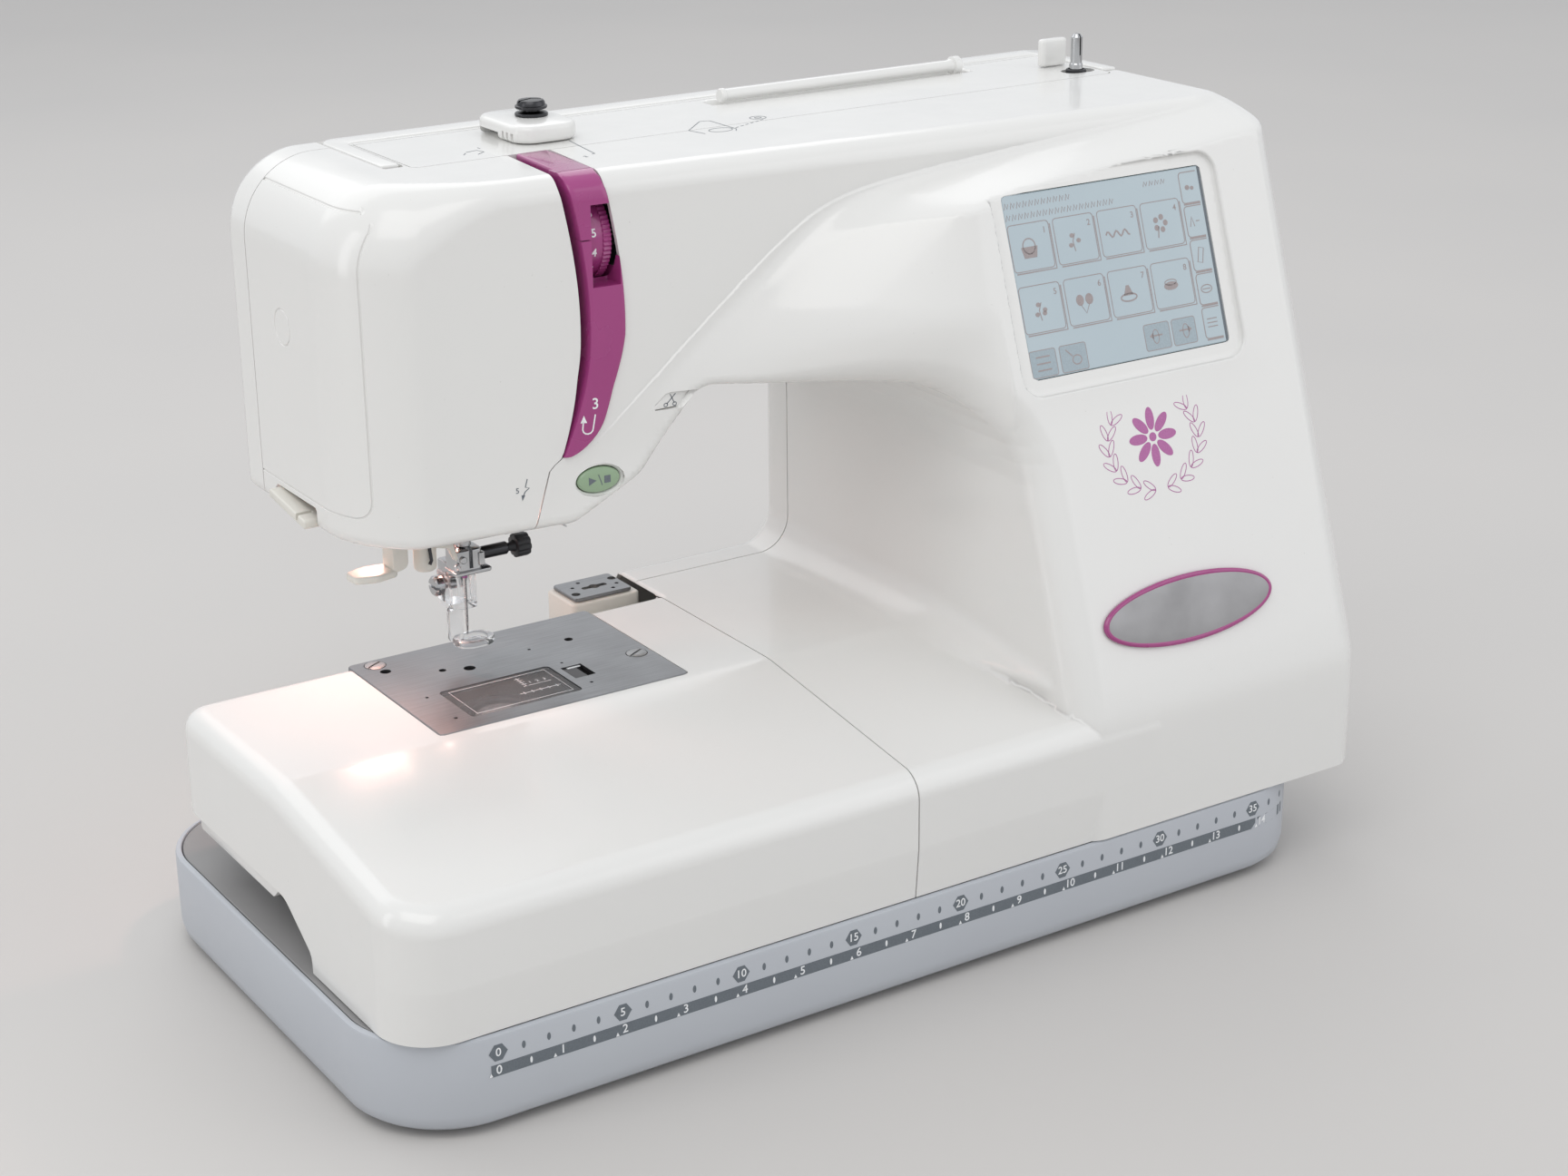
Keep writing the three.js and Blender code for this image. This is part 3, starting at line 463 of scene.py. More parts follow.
def tilt(corner, faces, p, depth, n):
    """Faces that go down into a dent are shaded by their own slope."""
    deep = np.concatenate([depth, np.zeros(len(p) - n)])
    spread = np.ptp(deep[faces], axis=1) > 1e-4
    q = p[faces[spread]]
    flat = np.cross(q[:, 1] - q[:, 0], q[:, 2] - q[:, 0])
    flat /= np.maximum(np.linalg.norm(flat, axis=1, keepdims=True), 1e-9)
    rows = np.nonzero(spread)[0]
    for k in range(3):
        corner[rows * 3 + k] = flat
    return corner


def mesh_object(name, points, faces, corner=None):
    mesh = bpy.data.meshes.new(name)
    mesh.vertices.add(len(points))
    mesh.vertices.foreach_set("co", place(points).ravel())
    faces = np.asarray(faces)
    mesh.loops.add(faces.size)
    mesh.loops.foreach_set("vertex_index", faces.ravel())
    mesh.polygons.add(len(faces))
    mesh.polygons.foreach_set("loop_start", np.arange(0, faces.size, faces.shape[1]))
    mesh.polygons.foreach_set("use_smooth", np.ones(len(faces), bool))
    mesh.update(calc_edges=True)
    mesh.validate()
    if corner is not None and len(mesh.loops) == len(corner):
        mesh.normals_split_custom_set(corner)
    obj = bpy.data.objects.new(name, mesh)
    bpy.context.scene.collection.objects.link(obj)
    return obj


# ---------------------------------------------------------------- small solids
def new_object(name, bm):
    mesh = bpy.data.meshes.new(name)
    bmesh.ops.recalc_face_normals(bm, faces=bm.faces)
    bm.to_mesh(mesh)
    bm.free()
    obj = bpy.data.objects.new(name, mesh)
    bpy.context.scene.collection.objects.link(obj)
    return obj


def from_lists(name, points, faces):
    bm = bmesh.new()
    made = [bm.verts.new(p) for p in place(points)]
    for face in faces:
        bm.faces.new([made[i] for i in face])
    return new_object(name, bm)


def rings(name, loops, capped=True):
    """A closed solid from a stack of loops that all have the same number of points."""
    n = len(loops[0])
    points = [p for loop in loops for p in loop]
    faces = []
    for k in range(len(loops) - 1):
        for i in range(n):
            j = (i + 1) % n
            faces.append((k * n + i, k * n + j, (k + 1) * n + j, (k + 1) * n + i))
    if capped:
        faces.append(tuple(range(n))[::-1])
        faces.append(tuple((len(loops) - 1) * n + i for i in range(n)))
    return from_lists(name, points, faces)


def prism(name, points, axis, low, high):
    """An outline drawn in the two other axes, in x, y, z order, pushed along an axis."""
    def lift(a, b, c):
        return {"x": (c, a, b), "y": (a, c, b), "z": (a, b, c)}[axis]

    return rings(name, [[lift(a, b, low) for a, b in points], [lift(a, b, high) for a, b in points]])


def block(name, low, high, r=0.0):
    points = outline([(low[0], low[1], r), (high[0], low[1], r), (high[0], high[1], r), (low[0], high[1], r)])
    return prism(name, points, "z", low[2], high[2])


def lathe(name, at, axis, profile, steps=48):
    """A turned piece from (radius, distance along the axis) pairs, running from the axis to the axis."""
    along = Vector(axis).normalized()
    side = along.orthogonal().normalized()
    other = along.cross(side)
    at = Vector(at)
    loops = []
    for r, h in profile:
        r = max(r, 0.01)
        turn = [2 * math.pi * i / steps for i in range(steps)]
        loops.append([at + along * h + side * (r * math.cos(a)) + other * (r * math.sin(a)) for a in turn])
    return rings(name, [[tuple(p) for p in loop] for loop in loops])


def oval_at(centre, half, a):
    """The point at an angle on an oval, whose half size is one number or one for each way."""
    half = half if isinstance(half, tuple) else (half, half)
    return (centre[0] + half[0] * math.cos(a), centre[1] + half[1] * math.sin(a))


def upright(name, at, profile, steps=48):
    """A turned piece that stands on end, from (radius, height) pairs."""
    return lathe(name, (*at, 0), (0, 0, 1), profile, steps)


def drill(at, axis, r, length, steps=48):
    """A round cutter, or a plain round bar, that starts at a point."""
    return lathe("drill", at, axis, [(0, 0), (r, 0), (r, length), (0, length)], steps)


def hollow(name, at, profile, steps):
    """An upright turned piece with a hole through it, from a closed run of (radius, height) pairs."""
    loops = [[(*oval_at(at, r, 2 * math.pi * i / steps), h) for i in range(steps)] for r, h in profile]
    return weld(rings(name, loops + [loops[0]], False))


def toothed(centre, teeth, high, low, shift=0.0):
    """The outline of a knurled edge."""
    turns = [2 * math.pi * (k + shift) / (teeth * 2) for k in range(teeth * 2)]
    return [oval_at(centre, high if k % 2 else low, a) for k, a in enumerate(turns)]


def rod(name, a, b, r, edge=0.3, steps=32):
    """A round bar with softened ends."""
    span = Vector(b) - Vector(a)
    n = span.length
    edge = min(edge, r * 0.6)
    profile = [(0, 0), (r - edge, 0), (r, edge), (r, n - edge), (r - edge, n), (0, n)]
    return lathe(name, a, span, profile, steps)


def inset_loop(x0, y0, x1, y1, r, inset, steps=10):
    """A rounded rectangle drawn in from its edge."""
    left, front, right, back = x0 + inset, y0 + inset, x1 - inset, y1 - inset
    r = max(r - inset, 0.4)
    corners = [(left, front, r), (right, front, r), (right, back, r), (left, back, r)]
    return outline(corners, steps)


def pan(name, box, r, profile, steps=10):
    """A rounded rectangle built up from (inset, height) pairs."""
    loops = [[(x, y, z) for x, y in inset_loop(*box, r, inset, steps)] for inset, z in profile]
    return rings(name, loops)


def tube(name, path, r, steps=12, ends=True):
    """A round bar that follows a path of points."""
    path = [Vector(p) for p in path]
    loops = []
    side = None
    for i, p in enumerate(path):
        ahead = (path[min(i + 1, len(path) - 1)] - path[max(i - 1, 0)]).normalized()
        side = ahead.orthogonal() if side is None else side - ahead * side.dot(ahead)
        side.normalize()
        other = ahead.cross(side)
        turn = [2 * math.pi * k / steps for k in range(steps)]
        loops.append([tuple(p + side * (r * math.cos(a)) + other * (r * math.sin(a))) for a in turn])
    return rings(name, loops, ends)


def apply_all(obj):
    graph = bpy.context.evaluated_depsgraph_get()
    graph.update()
    mesh = bpy.data.meshes.new_from_object(obj.evaluated_get(graph), depsgraph=graph)
    obj.modifiers.clear()
    obj.data = mesh
    return obj


def smooth(obj, angle=32):
    """Smooth shading, with edges sharper than an angle kept crisp."""
    obj.data.polygons.foreach_set("use_smooth", [True] * len(obj.data.polygons))
    obj.data.set_sharp_from_angle(angle=math.radians(angle))
    return obj


def bevel(obj, width, segments=2, angle=35):
    made = obj.modifiers.new("bevel", "BEVEL")
    made.width = width * MM
    made.segments = segments
    made.limit_method = "ANGLE"
    made.angle_limit = math.radians(angle)
    made.use_clamp_overlap = True
    return apply_all(obj)


def carve(obj, *cutters, how="DIFFERENCE"):
    """Cuts other solids away from a piece, and uses them up."""
    for cutter in cutters:
        made = obj.modifiers.new("cut", "BOOLEAN")
        made.operation = how
        made.solver = "EXACT"
        made.object = cutter
        apply_all(obj)
        bpy.data.objects.remove(cutter)
    return obj


def join(obj, *others):
    return carve(obj, *others, how="UNION")


def gather(obj, *others):
    """Puts separate solids into one piece without cutting them."""
    bm = bmesh.new()
    bm.from_mesh(obj.data)
    for other in others:
        bm.from_mesh(other.data)
        bpy.data.objects.remove(other)
    bm.to_mesh(obj.data)
    bm.free()
    return obj


def weld(obj):
    """Joins the points that lie on each other."""
    bm = bmesh.new()
    bm.from_mesh(obj.data)
    bmesh.ops.remove_doubles(bm, verts=bm.verts, dist=1e-7)
    bmesh.ops.recalc_face_normals(bm, faces=bm.faces)
    bm.to_mesh(obj.data)
    bm.free()
    return obj


def fit(obj, name, material, body="root", stands_for=()):
    """Names a finished piece, gives it its material and lets it ride."""
    obj.name = name
    obj.data.name = name
    obj.data.materials.clear()
    obj.data.materials.append(material)
    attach(obj, body)
    if stands_for:
        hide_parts(*stands_for)
    return obj


# ---------------------------------------------------------------- materials
class Look:
    """A material with its node tree, built around one Principled shader."""

    def __init__(self, name, color, roughness, **sockets):
        self.material = bpy.data.materials.new(name)
        self.material.use_nodes = True
        self.nodes = self.material.node_tree.nodes
        self.links = self.material.node_tree.links
        self.shader = self.nodes["Principled BSDF"]
        self.color = (*color, 1.0)
        self.shader.inputs["Base Color"].default_value = self.color
        self.shader.inputs["Roughness"].default_value = roughness
        for key, value in sockets.items():
            self.shader.inputs[key.replace("_", " ")].default_value = value
        self.place = self.nodes.new("ShaderNodeTexCoord").outputs["Object"]
        self.height = None

    def noise(self, scale, detail=3.0, stretch=None):
        """Noise of so many cells in a metre, stretched along one axis if asked."""
        node = self.nodes.new("ShaderNodeTexNoise")
        node.inputs["Scale"].default_value = scale
        node.inputs["Detail"].default_value = detail
        source = self.place
        if stretch:
            mapping = self.nodes.new("ShaderNodeMapping")
            mapping.inputs["Scale"].default_value = stretch
            self.links.new(self.place, mapping.inputs["Vector"])
            source = mapping.outputs["Vector"]
        self.links.new(source, node.inputs["Vector"])
        return node.outputs["Fac"]

    def span(self, value, low, high, start=0.3, end=0.7):
        node = self.nodes.new("ShaderNodeMapRange")
        node.inputs["From Min"].default_value = start
        node.inputs["From Max"].default_value = end
        node.inputs["To Min"].default_value = low
        node.inputs["To Max"].default_value = high
        self.links.new(value, node.inputs["Value"])
        return node.outputs["Result"]

    def rough(self, value, low, high, start=0.3, end=0.7):
        self.links.new(self.span(value, low, high, start, end), self.shader.inputs["Roughness"])
        return self

    def tint(self, value, other, start=0.3, end=0.7, most=1.0):
        """Fades the colour towards another where a pattern is high."""
        node = self.nodes.new("ShaderNodeMix")
        node.data_type = "RGBA"
        sockets = {s.name: s for s in node.inputs if s.type == "RGBA"}
        base = self.shader.inputs["Base Color"]
        if base.is_linked:
            self.links.new(base.links[0].from_socket, sockets["A"])
        else:
            sockets["A"].default_value = self.color
        sockets["B"].default_value = (*other, 1.0)
        self.links.new(self.span(value, 0.0, most, start, end), node.inputs["Factor"])
        out = next(s for s in node.outputs if s.type == "RGBA")
        self.links.new(out, base)
        return self

    def bump(self, value, depth, strength=0.4):
        node = self.nodes.new("ShaderNodeBump")
        node.inputs["Distance"].default_value = depth * MM
        node.inputs["Strength"].default_value = strength
        self.links.new(value, node.inputs["Height"])
        if self.height is not None:
            self.links.new(self.height, node.inputs["Normal"])
        self.height = node.outputs["Normal"]
        self.links.new(self.height, self.shader.inputs["Normal"])
        return self


def white_gloss():
    """Glossy white ABS: faint orange peel, a little uneven gloss, and handling haze and specks."""
    look = Look("white_gloss", (0.79, 0.785, 0.765), 0.2, Coat_Weight=0.35, Coat_Roughness=0.06)
    look.rough(look.noise(34.0, 4.0), 0.17, 0.27)
    look.tint(look.noise(5.0, 2.0), (0.76, 0.755, 0.735), most=0.6)
    look.tint(look.noise(900.0, 2.0), (0.5, 0.49, 0.46), start=0.765, end=0.8, most=0.5)
    look.bump(look.noise(420.0, 2.0), 0.02, 0.12)
    return look.material


def satin(name, color, roughness, grain=2600.0, depth=0.05, worn=None):
    """Satin moulded plastic with a fine spark-eroded grain."""
    look = Look(name, color, roughness)
    look.rough(look.noise(26.0, 3.0), roughness - 0.06, roughness + 0.07)
    look.tint(look.noise(9.0, 2.0), worn or [c * 0.93 for c in color], most=0.7)
    look.bump(look.noise(grain, 2.0), depth, 0.25)
    return look.material


def gloss(name, color, roughness, other=None):
    look = Look(name, color, roughness, Coat_Weight=0.5, Coat_Roughness=0.08)
    look.rough(look.noise(60.0, 3.0), roughness - 0.04, roughness + 0.06)
    look.tint(look.noise(18.0, 2.0), other or [c * 0.9 for c in color], most=0.6)
    look.bump(look.noise(500.0, 2.0), 0.015, 0.12)
    return look.material


def metal(name, color, roughness, stretch=(1.0, 30.0, 30.0), depth=0.03):
    """Metal with fine drawn lines along one axis and a patchy gloss."""
    look = Look(name, color, roughness, Metallic=1.0)
    lines = look.noise(60.0, 4.0, stretch)
    look.rough(lines, roughness - 0.07, roughness + 0.1)
    look.tint(look.noise(40.0, 3.0), [c * 0.8 for c in color], most=0.6)
    look.bump(lines, depth, 0.2)
    return look.material


def clear(name, tint, roughness, weight=0.92, ior=1.49):
    look = Look(name, tint, roughness, Transmission_Weight=weight, IOR=ior)
    look.bump(look.noise(90.0, 2.0), 0.03, 0.15)
    return look.material


def ink(name, color, roughness=0.5):
    """Printed ink, a little uneven in density."""
    look = Look(name, color, roughness)
    look.tint(look.noise(1500.0, 2.0), [min(1.0, c * 1.12 + 0.02) for c in color], most=0.7)
    return look.material


def lamp_glass():
    look = Look("lamp_glass", (1.0, 0.9, 0.8), 0.4, Emission_Strength=5.0)
    look.shader.inputs["Emission Color"].default_value = (1.0, 0.72, 0.58, 1)
    look.bump(look.noise(900.0, 2.0), 0.05, 0.3)
    return look.material


def screen_glass():
    """A grey-blue liquid crystal behind a satin film, with its backlight a little uneven."""
    look = Look("screen_glass", (0.36, 0.43, 0.47), 0.22, Emission_Strength=0.12)
    look.shader.inputs["Emission Color"].default_value = (0.55, 0.66, 0.72, 1)
    look.tint(look.noise(14.0, 2.0), (0.42, 0.49, 0.52), most=0.8)
    look.bump(look.noise(3000.0, 2.0), 0.02, 0.1)
    return look.material


WHITE = white_gloss()
CREAM = satin("cream_satin", (0.74, 0.72, 0.66), 0.38)
GREY = satin("base_grey", (0.50, 0.525, 0.56), 0.42, worn=(0.47, 0.49, 0.53))
PLATE_GREY = satin("plate_grey", (0.30, 0.295, 0.295), 0.48, worn=(0.26, 0.255, 0.255))
BLACK = satin("black_satin", (0.022, 0.022, 0.026), 0.4)
DARK_INSIDE = satin("dark_inside", (0.05, 0.05, 0.055), 0.6)
RUBBER = satin("rubber", (0.035, 0.035, 0.037), 0.75, 1500.0, 0.12)
MAGENTA = gloss("magenta_gloss", (0.36, 0.048, 0.21), 0.24, (0.32, 0.035, 0.18))
GREEN = gloss("green_gloss", (0.30, 0.42, 0.27), 0.3)
BADGE_SILVER = metal("badge_silver", (0.40, 0.395, 0.40), 0.5, (1.0, 1.0, 1.0), 0.01)
STEEL = metal("drawn_steel", (0.56, 0.565, 0.57), 0.26)
PLATE_STEEL = metal("needle_plate_steel", (0.27, 0.275, 0.285), 0.36, (1.0, 22.0, 22.0), 0.02)
DARK_STEEL = metal("dark_steel", (0.07, 0.07, 0.075), 0.3)
CHROME = metal("chrome", (0.52, 0.525, 0.535), 0.17, (1.0, 6.0, 6.0), 0.006)
CASTING = metal("casting", (0.42, 0.425, 0.43), 0.5, (1.0, 1.0, 1.0), 0.1)
CLEAR = clear("clear_plastic", (0.96, 0.97, 0.98), 0.06)
BOBBIN_CLEAR = clear("bobbin_plastic", (0.93, 0.94, 0.96), 0.12, 0.8)
WINDOW = Look("window_plastic", (0.34, 0.35, 0.36), 0.14, Alpha=0.22).material
LAMP = lamp_glass()
SCREEN = screen_glass()
BOARD = satin("circuit_board", (0.03, 0.13, 0.06), 0.45, 600.0, 0.1)
INK_GREY = ink("ink_grey", (0.125, 0.145, 0.165))
INK_WHITE = ink("ink_white", (0.80, 0.81, 0.82))
INK_MAGENTA = ink("ink_magenta", (0.42, 0.13, 0.33))
INK_BROWN = ink("ink_brown", (0.33, 0.285, 0.285))
INK_TILE = ink("ink_tile", (0.33, 0.40, 0.44), 0.3)
THREAD = ink("bobbin_thread", (0.78, 0.78, 0.76), 0.7)


# ---------------------------------------------------------------- the moulded covers
GUIDE_FOOT = 199.5  # the round lower end of the magenta guide strip


def guide_left(z):
    bow = 97 + 10 * np.cos((np.maximum(z, 244.0) - 244) / 62 * (math.pi / 2)) + np.maximum(z - 244, 0) * 0.04
    return bow - 11.9 * (np.clip(244 - z, 0, 60) / 43.7) ** 1.7


def guide_right(z):
    width = 14.5 - 2.6 * np.clip((244 - z) / 20, 0, 1)
    return guide_left(z) + width * np.sqrt(1 - np.clip((213 - z) / 14, 0, 0.97) ** 2)


def across_head(y, z, foot, upper):
    """An edge that climbs the head's front and runs back over its top."""
    seam = np.interp(z, [160.0, 195.5, GUIDE_FOOT], foot)
    open_part = ramp((z - GUIDE_FOOT + 0.5) / 0.8)
    over_top = np.maximum(y - 110, 0) * 0.083 * ramp((z - 297.0) / 4.0)
    return seam * (1 - open_part) + (upper + over_top) * open_part


def face_edge(y, z):
    slot = 0.5 + 3.1 * np.clip((z - 199) / 30, 0, 1)
    return across_head(y, z, [78.0, 88.7, 94.2], guide_left(np.minimum(z, 301.0)) - slot)


def front_edge(y, z):
    return across_head(y, z, [78.6, 89.3, 94.9], guide_right(np.minimum(z, 301.0)) + 0.3)


def in_bed(x, y, z):
    return np.maximum(x - BED_SEAM + SEAM, z - 140.0)


def out_of_bed(x, y, z):
    return -np.maximum(x - BED_SEAM - SEAM, z - 140.0)


def lid_area(x, y, z):
    return np.maximum(slab(x, y, LID[0] + SEAM, LID[2] + SEAM, LID[1] - SEAM, 400.0, 3.0), 296.0 - z)


def round_lid(x, y, z):
    return np.maximum(slab(x, y, LID[0] - SEAM, LID[2] - SEAM, LID[1] + SEAM, 400.0, 3.5), 296.0 - z)


def handle_well(x, y, z):
    arms = np.minimum(slab(x, y, 52.4, 162.4, 61.0, 225.2, 1.0), slab(x, y, 395.4, 162.4, 404.0, 225.2, 1.0))
    return np.maximum(np.minimum(arms, slab(x, y, 52.4, 212.4, 404.0, 225.2, 1.0)), 296.0 - z)


def hook_space(x, y, z):
    return np.maximum(slab(x, y, 40.0, 136.0, 104.0, 207.0, 4.0), z - 178.0)


def plate_window(x, y, z):
    return np.maximum(slab(x, y, 36.0, 108.0, 146.0, 192.0, 1.5), 95.0 - z)


START_AT, START_HALF = (108.8, 188.3), (8.8, 5.0)  # the oval start and stop button


def start_hole(x, y, z):
    half_x, half_z = START_HALF[0] + 1.4, START_HALF[1] + 1.4
    around = (np.hypot((x - START_AT[0]) / half_x, (z - START_AT[1]) / half_z) - 1) * half_z
    return np.maximum(around, y - 116.0)


CUTTER_BUTTON = [(130.5, 212.4), (143.5, 212.4), (149.5, 218.4), (137.5, 218.4)]


def cutter_hole(x, y, z):
    return np.maximum(flat_field(x, z, CUTTER_BUTTON) - 0.3, y - 120.0)


def screen_hole(x, y, z):
    u, v, out = on_tower(x, y, z)
    half_u, half_v = LCD_SIZE[0] / 2, LCD_SIZE[1] / 2
    return np.maximum(slab(u, v, -half_u, -half_v, half_u, half_v, 2.0), np.abs(out) - 6.0)


def carriage_door(x, y, z):
    return np.maximum(slab(y, z, 202.0, 20.0, 226.5, 97.5, 1.0), x - 190.0)


def side_ports(x, y, z):
    ports = np.minimum(slab(y, z, 132.0, 58.0, 200.0, 92.0, 2.0), np.hypot(y - 182.0, z - 262.0) - 6.0)
    return np.maximum(ports, 400.0 - x)


def lid_holes(x, y, z):
    slot = slab(x, y, 378.0, 166.0, 394.0, 176.0, 4.9)
    return np.maximum(np.minimum(slot, np.hypot(x - 129.0, y - 190.0) - 2.4), 290.0 - z)


def face_outline(x, y, z):
    return np.where(x < 30.0, slab(y, z, 128.0, 183.3, 260.0, 297.0, 7.0), 9.0)


def face_disc(x, y, z):
    return np.where(x < 30.0, np.hypot(y - 180.0, z - 247.0) - 7.0, 9.0)


def bed_notch(x, y, z):
    return np.maximum(flat_field(y, z, NOTCH), x - 62.0)


def cutter_notch(x, y, z):
    return np.maximum(slab(y, z, 160.0, 160.0, 198.0, 181.0, 1.0), x - 24.0)


def cover(name, mesh, node, dents=()):
    """One moulded cover, made from its part of the skin."""
    for field, half, _ in dents:
        mesh = score(mesh, field, (-half, -half * 0.4, half * 0.4, half))
    points, faces, corner = shell(mesh, dents)
    obj = mesh_object(name, points, faces, corner)
    return fit(obj, name, WHITE, stands_for=(node,))


def build_covers():
    low = [BED_LEFT - 1, -1.0, BED_FLOOR - 6]
    high = [RIGHT + 1, BACK + 1, TOP + 1]
    whole = surface_net(skin, low, high, GRID)
    whole = score(whole, lambda x, y, z: crease_z(x) - z, (-0.35, 0.4, 1.15))
    whole = score(whole, lambda x, y, z: y - CREASE_Y)
    whole = score(whole, lambda x, y, z: z - BREAK_Z)
    whole = score(whole, bezel_line, (-1.0, -0.3, 0.4, 1.1))
    points, _ = settle(skin, whole[0], 3)
    whole = keep((points, whole[1]), lambda x, y, z: BED_FLOOR - z + 0.0 * x, 0.5)
    bed = drop(drop(keep(whole, in_bed), plate_window), bed_notch)
    cover("bed_shell", bed, "bed_cover")
    rest = keep(whole, out_of_bed)
    rest = drop(drop(rest, handle_well), carriage_door)
    rear = keep(rest, lambda x, y, z: REAR_SEAM + SEAM - y)
    cover("rear_shell", rear, "rear_cover")
    head = keep(rest, lambda x, y, z: y - REAR_SEAM + SEAM)
    cover("lid_shell", drop(keep(head, lid_area), lid_holes), "top_cover")
    head = drop(drop(head, round_lid), hook_space)
    face = keep(head, lambda x, y, z: x - face_edge(y, z))
    dents = ((face_outline, 0.45, 0.5), (face_disc, 0.35, 0.35))
    cover("face_shell", drop(face, cutter_notch), "face_cover", dents)
    front = keep(head, lambda x, y, z: front_edge(y, z) - x)
    for field in (start_hole, cutter_hole, screen_hole, side_ports):
        front = drop(front, field)
    cover("front_shell", front, "front_cover")


# ---------------------------------------------------------------- print
class Print:
    """Thin printed shapes, drawn on a flat sheet and laid on a surface by put(across, up, out)."""

    def __init__(self, put, thick=0.06):
        self.put = put
        self.thick = thick
        self.points = []
        self.faces = []

    def add(self, points, faces):
        first = len(self.points)
        self.points += [tuple(self.put(*p)) for p in points]
        self.faces += [tuple(first + i for i in face) for face in faces]
        return self

    def shape(self, flat):
        n = len(flat)
        sides = [(i, (i + 1) % n, n + (i + 1) % n, n + i) for i in range(n)]
        caps = [tuple(range(n))[::-1], tuple(range(n, 2 * n))]
        return self.add([(u, v, w) for w in (0.0, self.thick) for u, v in flat], sides + caps)

    def ring(self, centre, half, width, steps=32):
        """An oval line."""
        return self.path([oval_at(centre, half, 2 * math.pi * i / steps) for i in range(steps)], width, True)

    def disc(self, centre, half, steps=24):
        return self.shape([oval_at(centre, half, 2 * math.pi * i / steps) for i in range(steps)])

    def path(self, points, width, closed=False):
        """A line of even width."""
        n = len(points)
        left, right = [], []
        for i, p in enumerate(points):
            a = points[i - 1] if i or closed else p
            b = points[(i + 1) % n] if i + 1 < n or closed else p
            d = Vector((b[0] - a[0], b[1] - a[1])).normalized() * (width / 2)
            left.append((p[0] - d.y, p[1] + d.x))
            right.append((p[0] + d.y, p[1] - d.x))
        for i in range(n if closed else n - 1):
            j = (i + 1) % n
            self.shape([left[i], right[i], right[j], left[j]])
        return self

    def text(self, body, centre, size, weight=0.0):
        curve = bpy.data.curves.new("glyph", "FONT")
        curve.body = body
        curve.size = size
        curve.offset = weight
        curve.extrude = self.thick / 2
        curve.resolution_u = 4
        curve.align_x = "CENTER"
        curve.align_y = "CENTER"
        holder = bpy.data.objects.new("glyph", curve)
        mesh = holder.to_mesh()
        points = [(v.co.x + centre[0], v.co.y + centre[1], v.co.z + self.thick / 2) for v in mesh.vertices]
        self.add(points, [tuple(p.vertices) for p in mesh.polygons])
        holder.to_mesh_clear()
        bpy.data.objects.remove(holder)
        bpy.data.curves.remove(curve)
        return self

    def lay(self, name, material, body="root"):
        mesh = bpy.data.meshes.new(name)
        mesh.from_pydata([tuple(p) for p in place(self.points)], [], self.faces)
        mesh.validate()
        obj = bpy.data.objects.new(name, mesh)
        bpy.context.scene.collection.objects.link(obj)
        return fit(obj, name, material, body)


def on_base_front(u, v, w):
    """Along the base's front face and round its right corner."""
    turn = max(0.0, (u - 350.0) / 40.0)
    if turn == 0:
        return (u, -w, v)
    return (350 + (40 + w) * math.sin(turn), 40 - (40 + w) * math.cos(turn), v)


def on_head(u, v, w):
    return (u, float(front_of(np.array([u]), np.array([v]))[0]) - w, v)


def on_lean(u, v, w):
    y = (LCD_AT[1] - LEAN_FROM) * LEAN
    return (LCD_AT[0] + u, y + (v * LEAN - w) / SLOPE, LCD_AT[1] + (v + w * LEAN) / SLOPE)


def up_lean(z):
    """The distance up the leaning front from the screen's middle to a height."""
    return (z - LCD_AT[1]) * SLOPE


def on_top(u, v, w):
    return (u, v, TOP + w)


# ---------------------------------------------------------------- base
def build_notch():
    """The walls of the open space under the bed's free end, where it can be gripped."""
    liner = [(76, 38), (76, 44, 6), (98, 58.3, 14), (190, 58.3)]
    liner += [(190, 60.4), (97.4, 60.4, 16), (73.9, 45, 8), (73.9, 38)]
    wall = prism("wall", outline(liner), "x", BED_LEFT + 1.2, 64)
    end = prism("end", outline([(74, 38), (190, 38), (190, 60), (74, 60)]), "x", 62, 64)
    fit(smooth(gather(wall, end)), "notch_lining", WHITE)
    lip = outline([(104, 59), (182, 59), (182, 52.5, 2), (112, 52, 3)])
    lip = prism("lip", lip, "x", BED_LEFT + 1.5, -28)
    fit(smooth(bevel(lip, 0.4)), "notch_lip", WHITE)


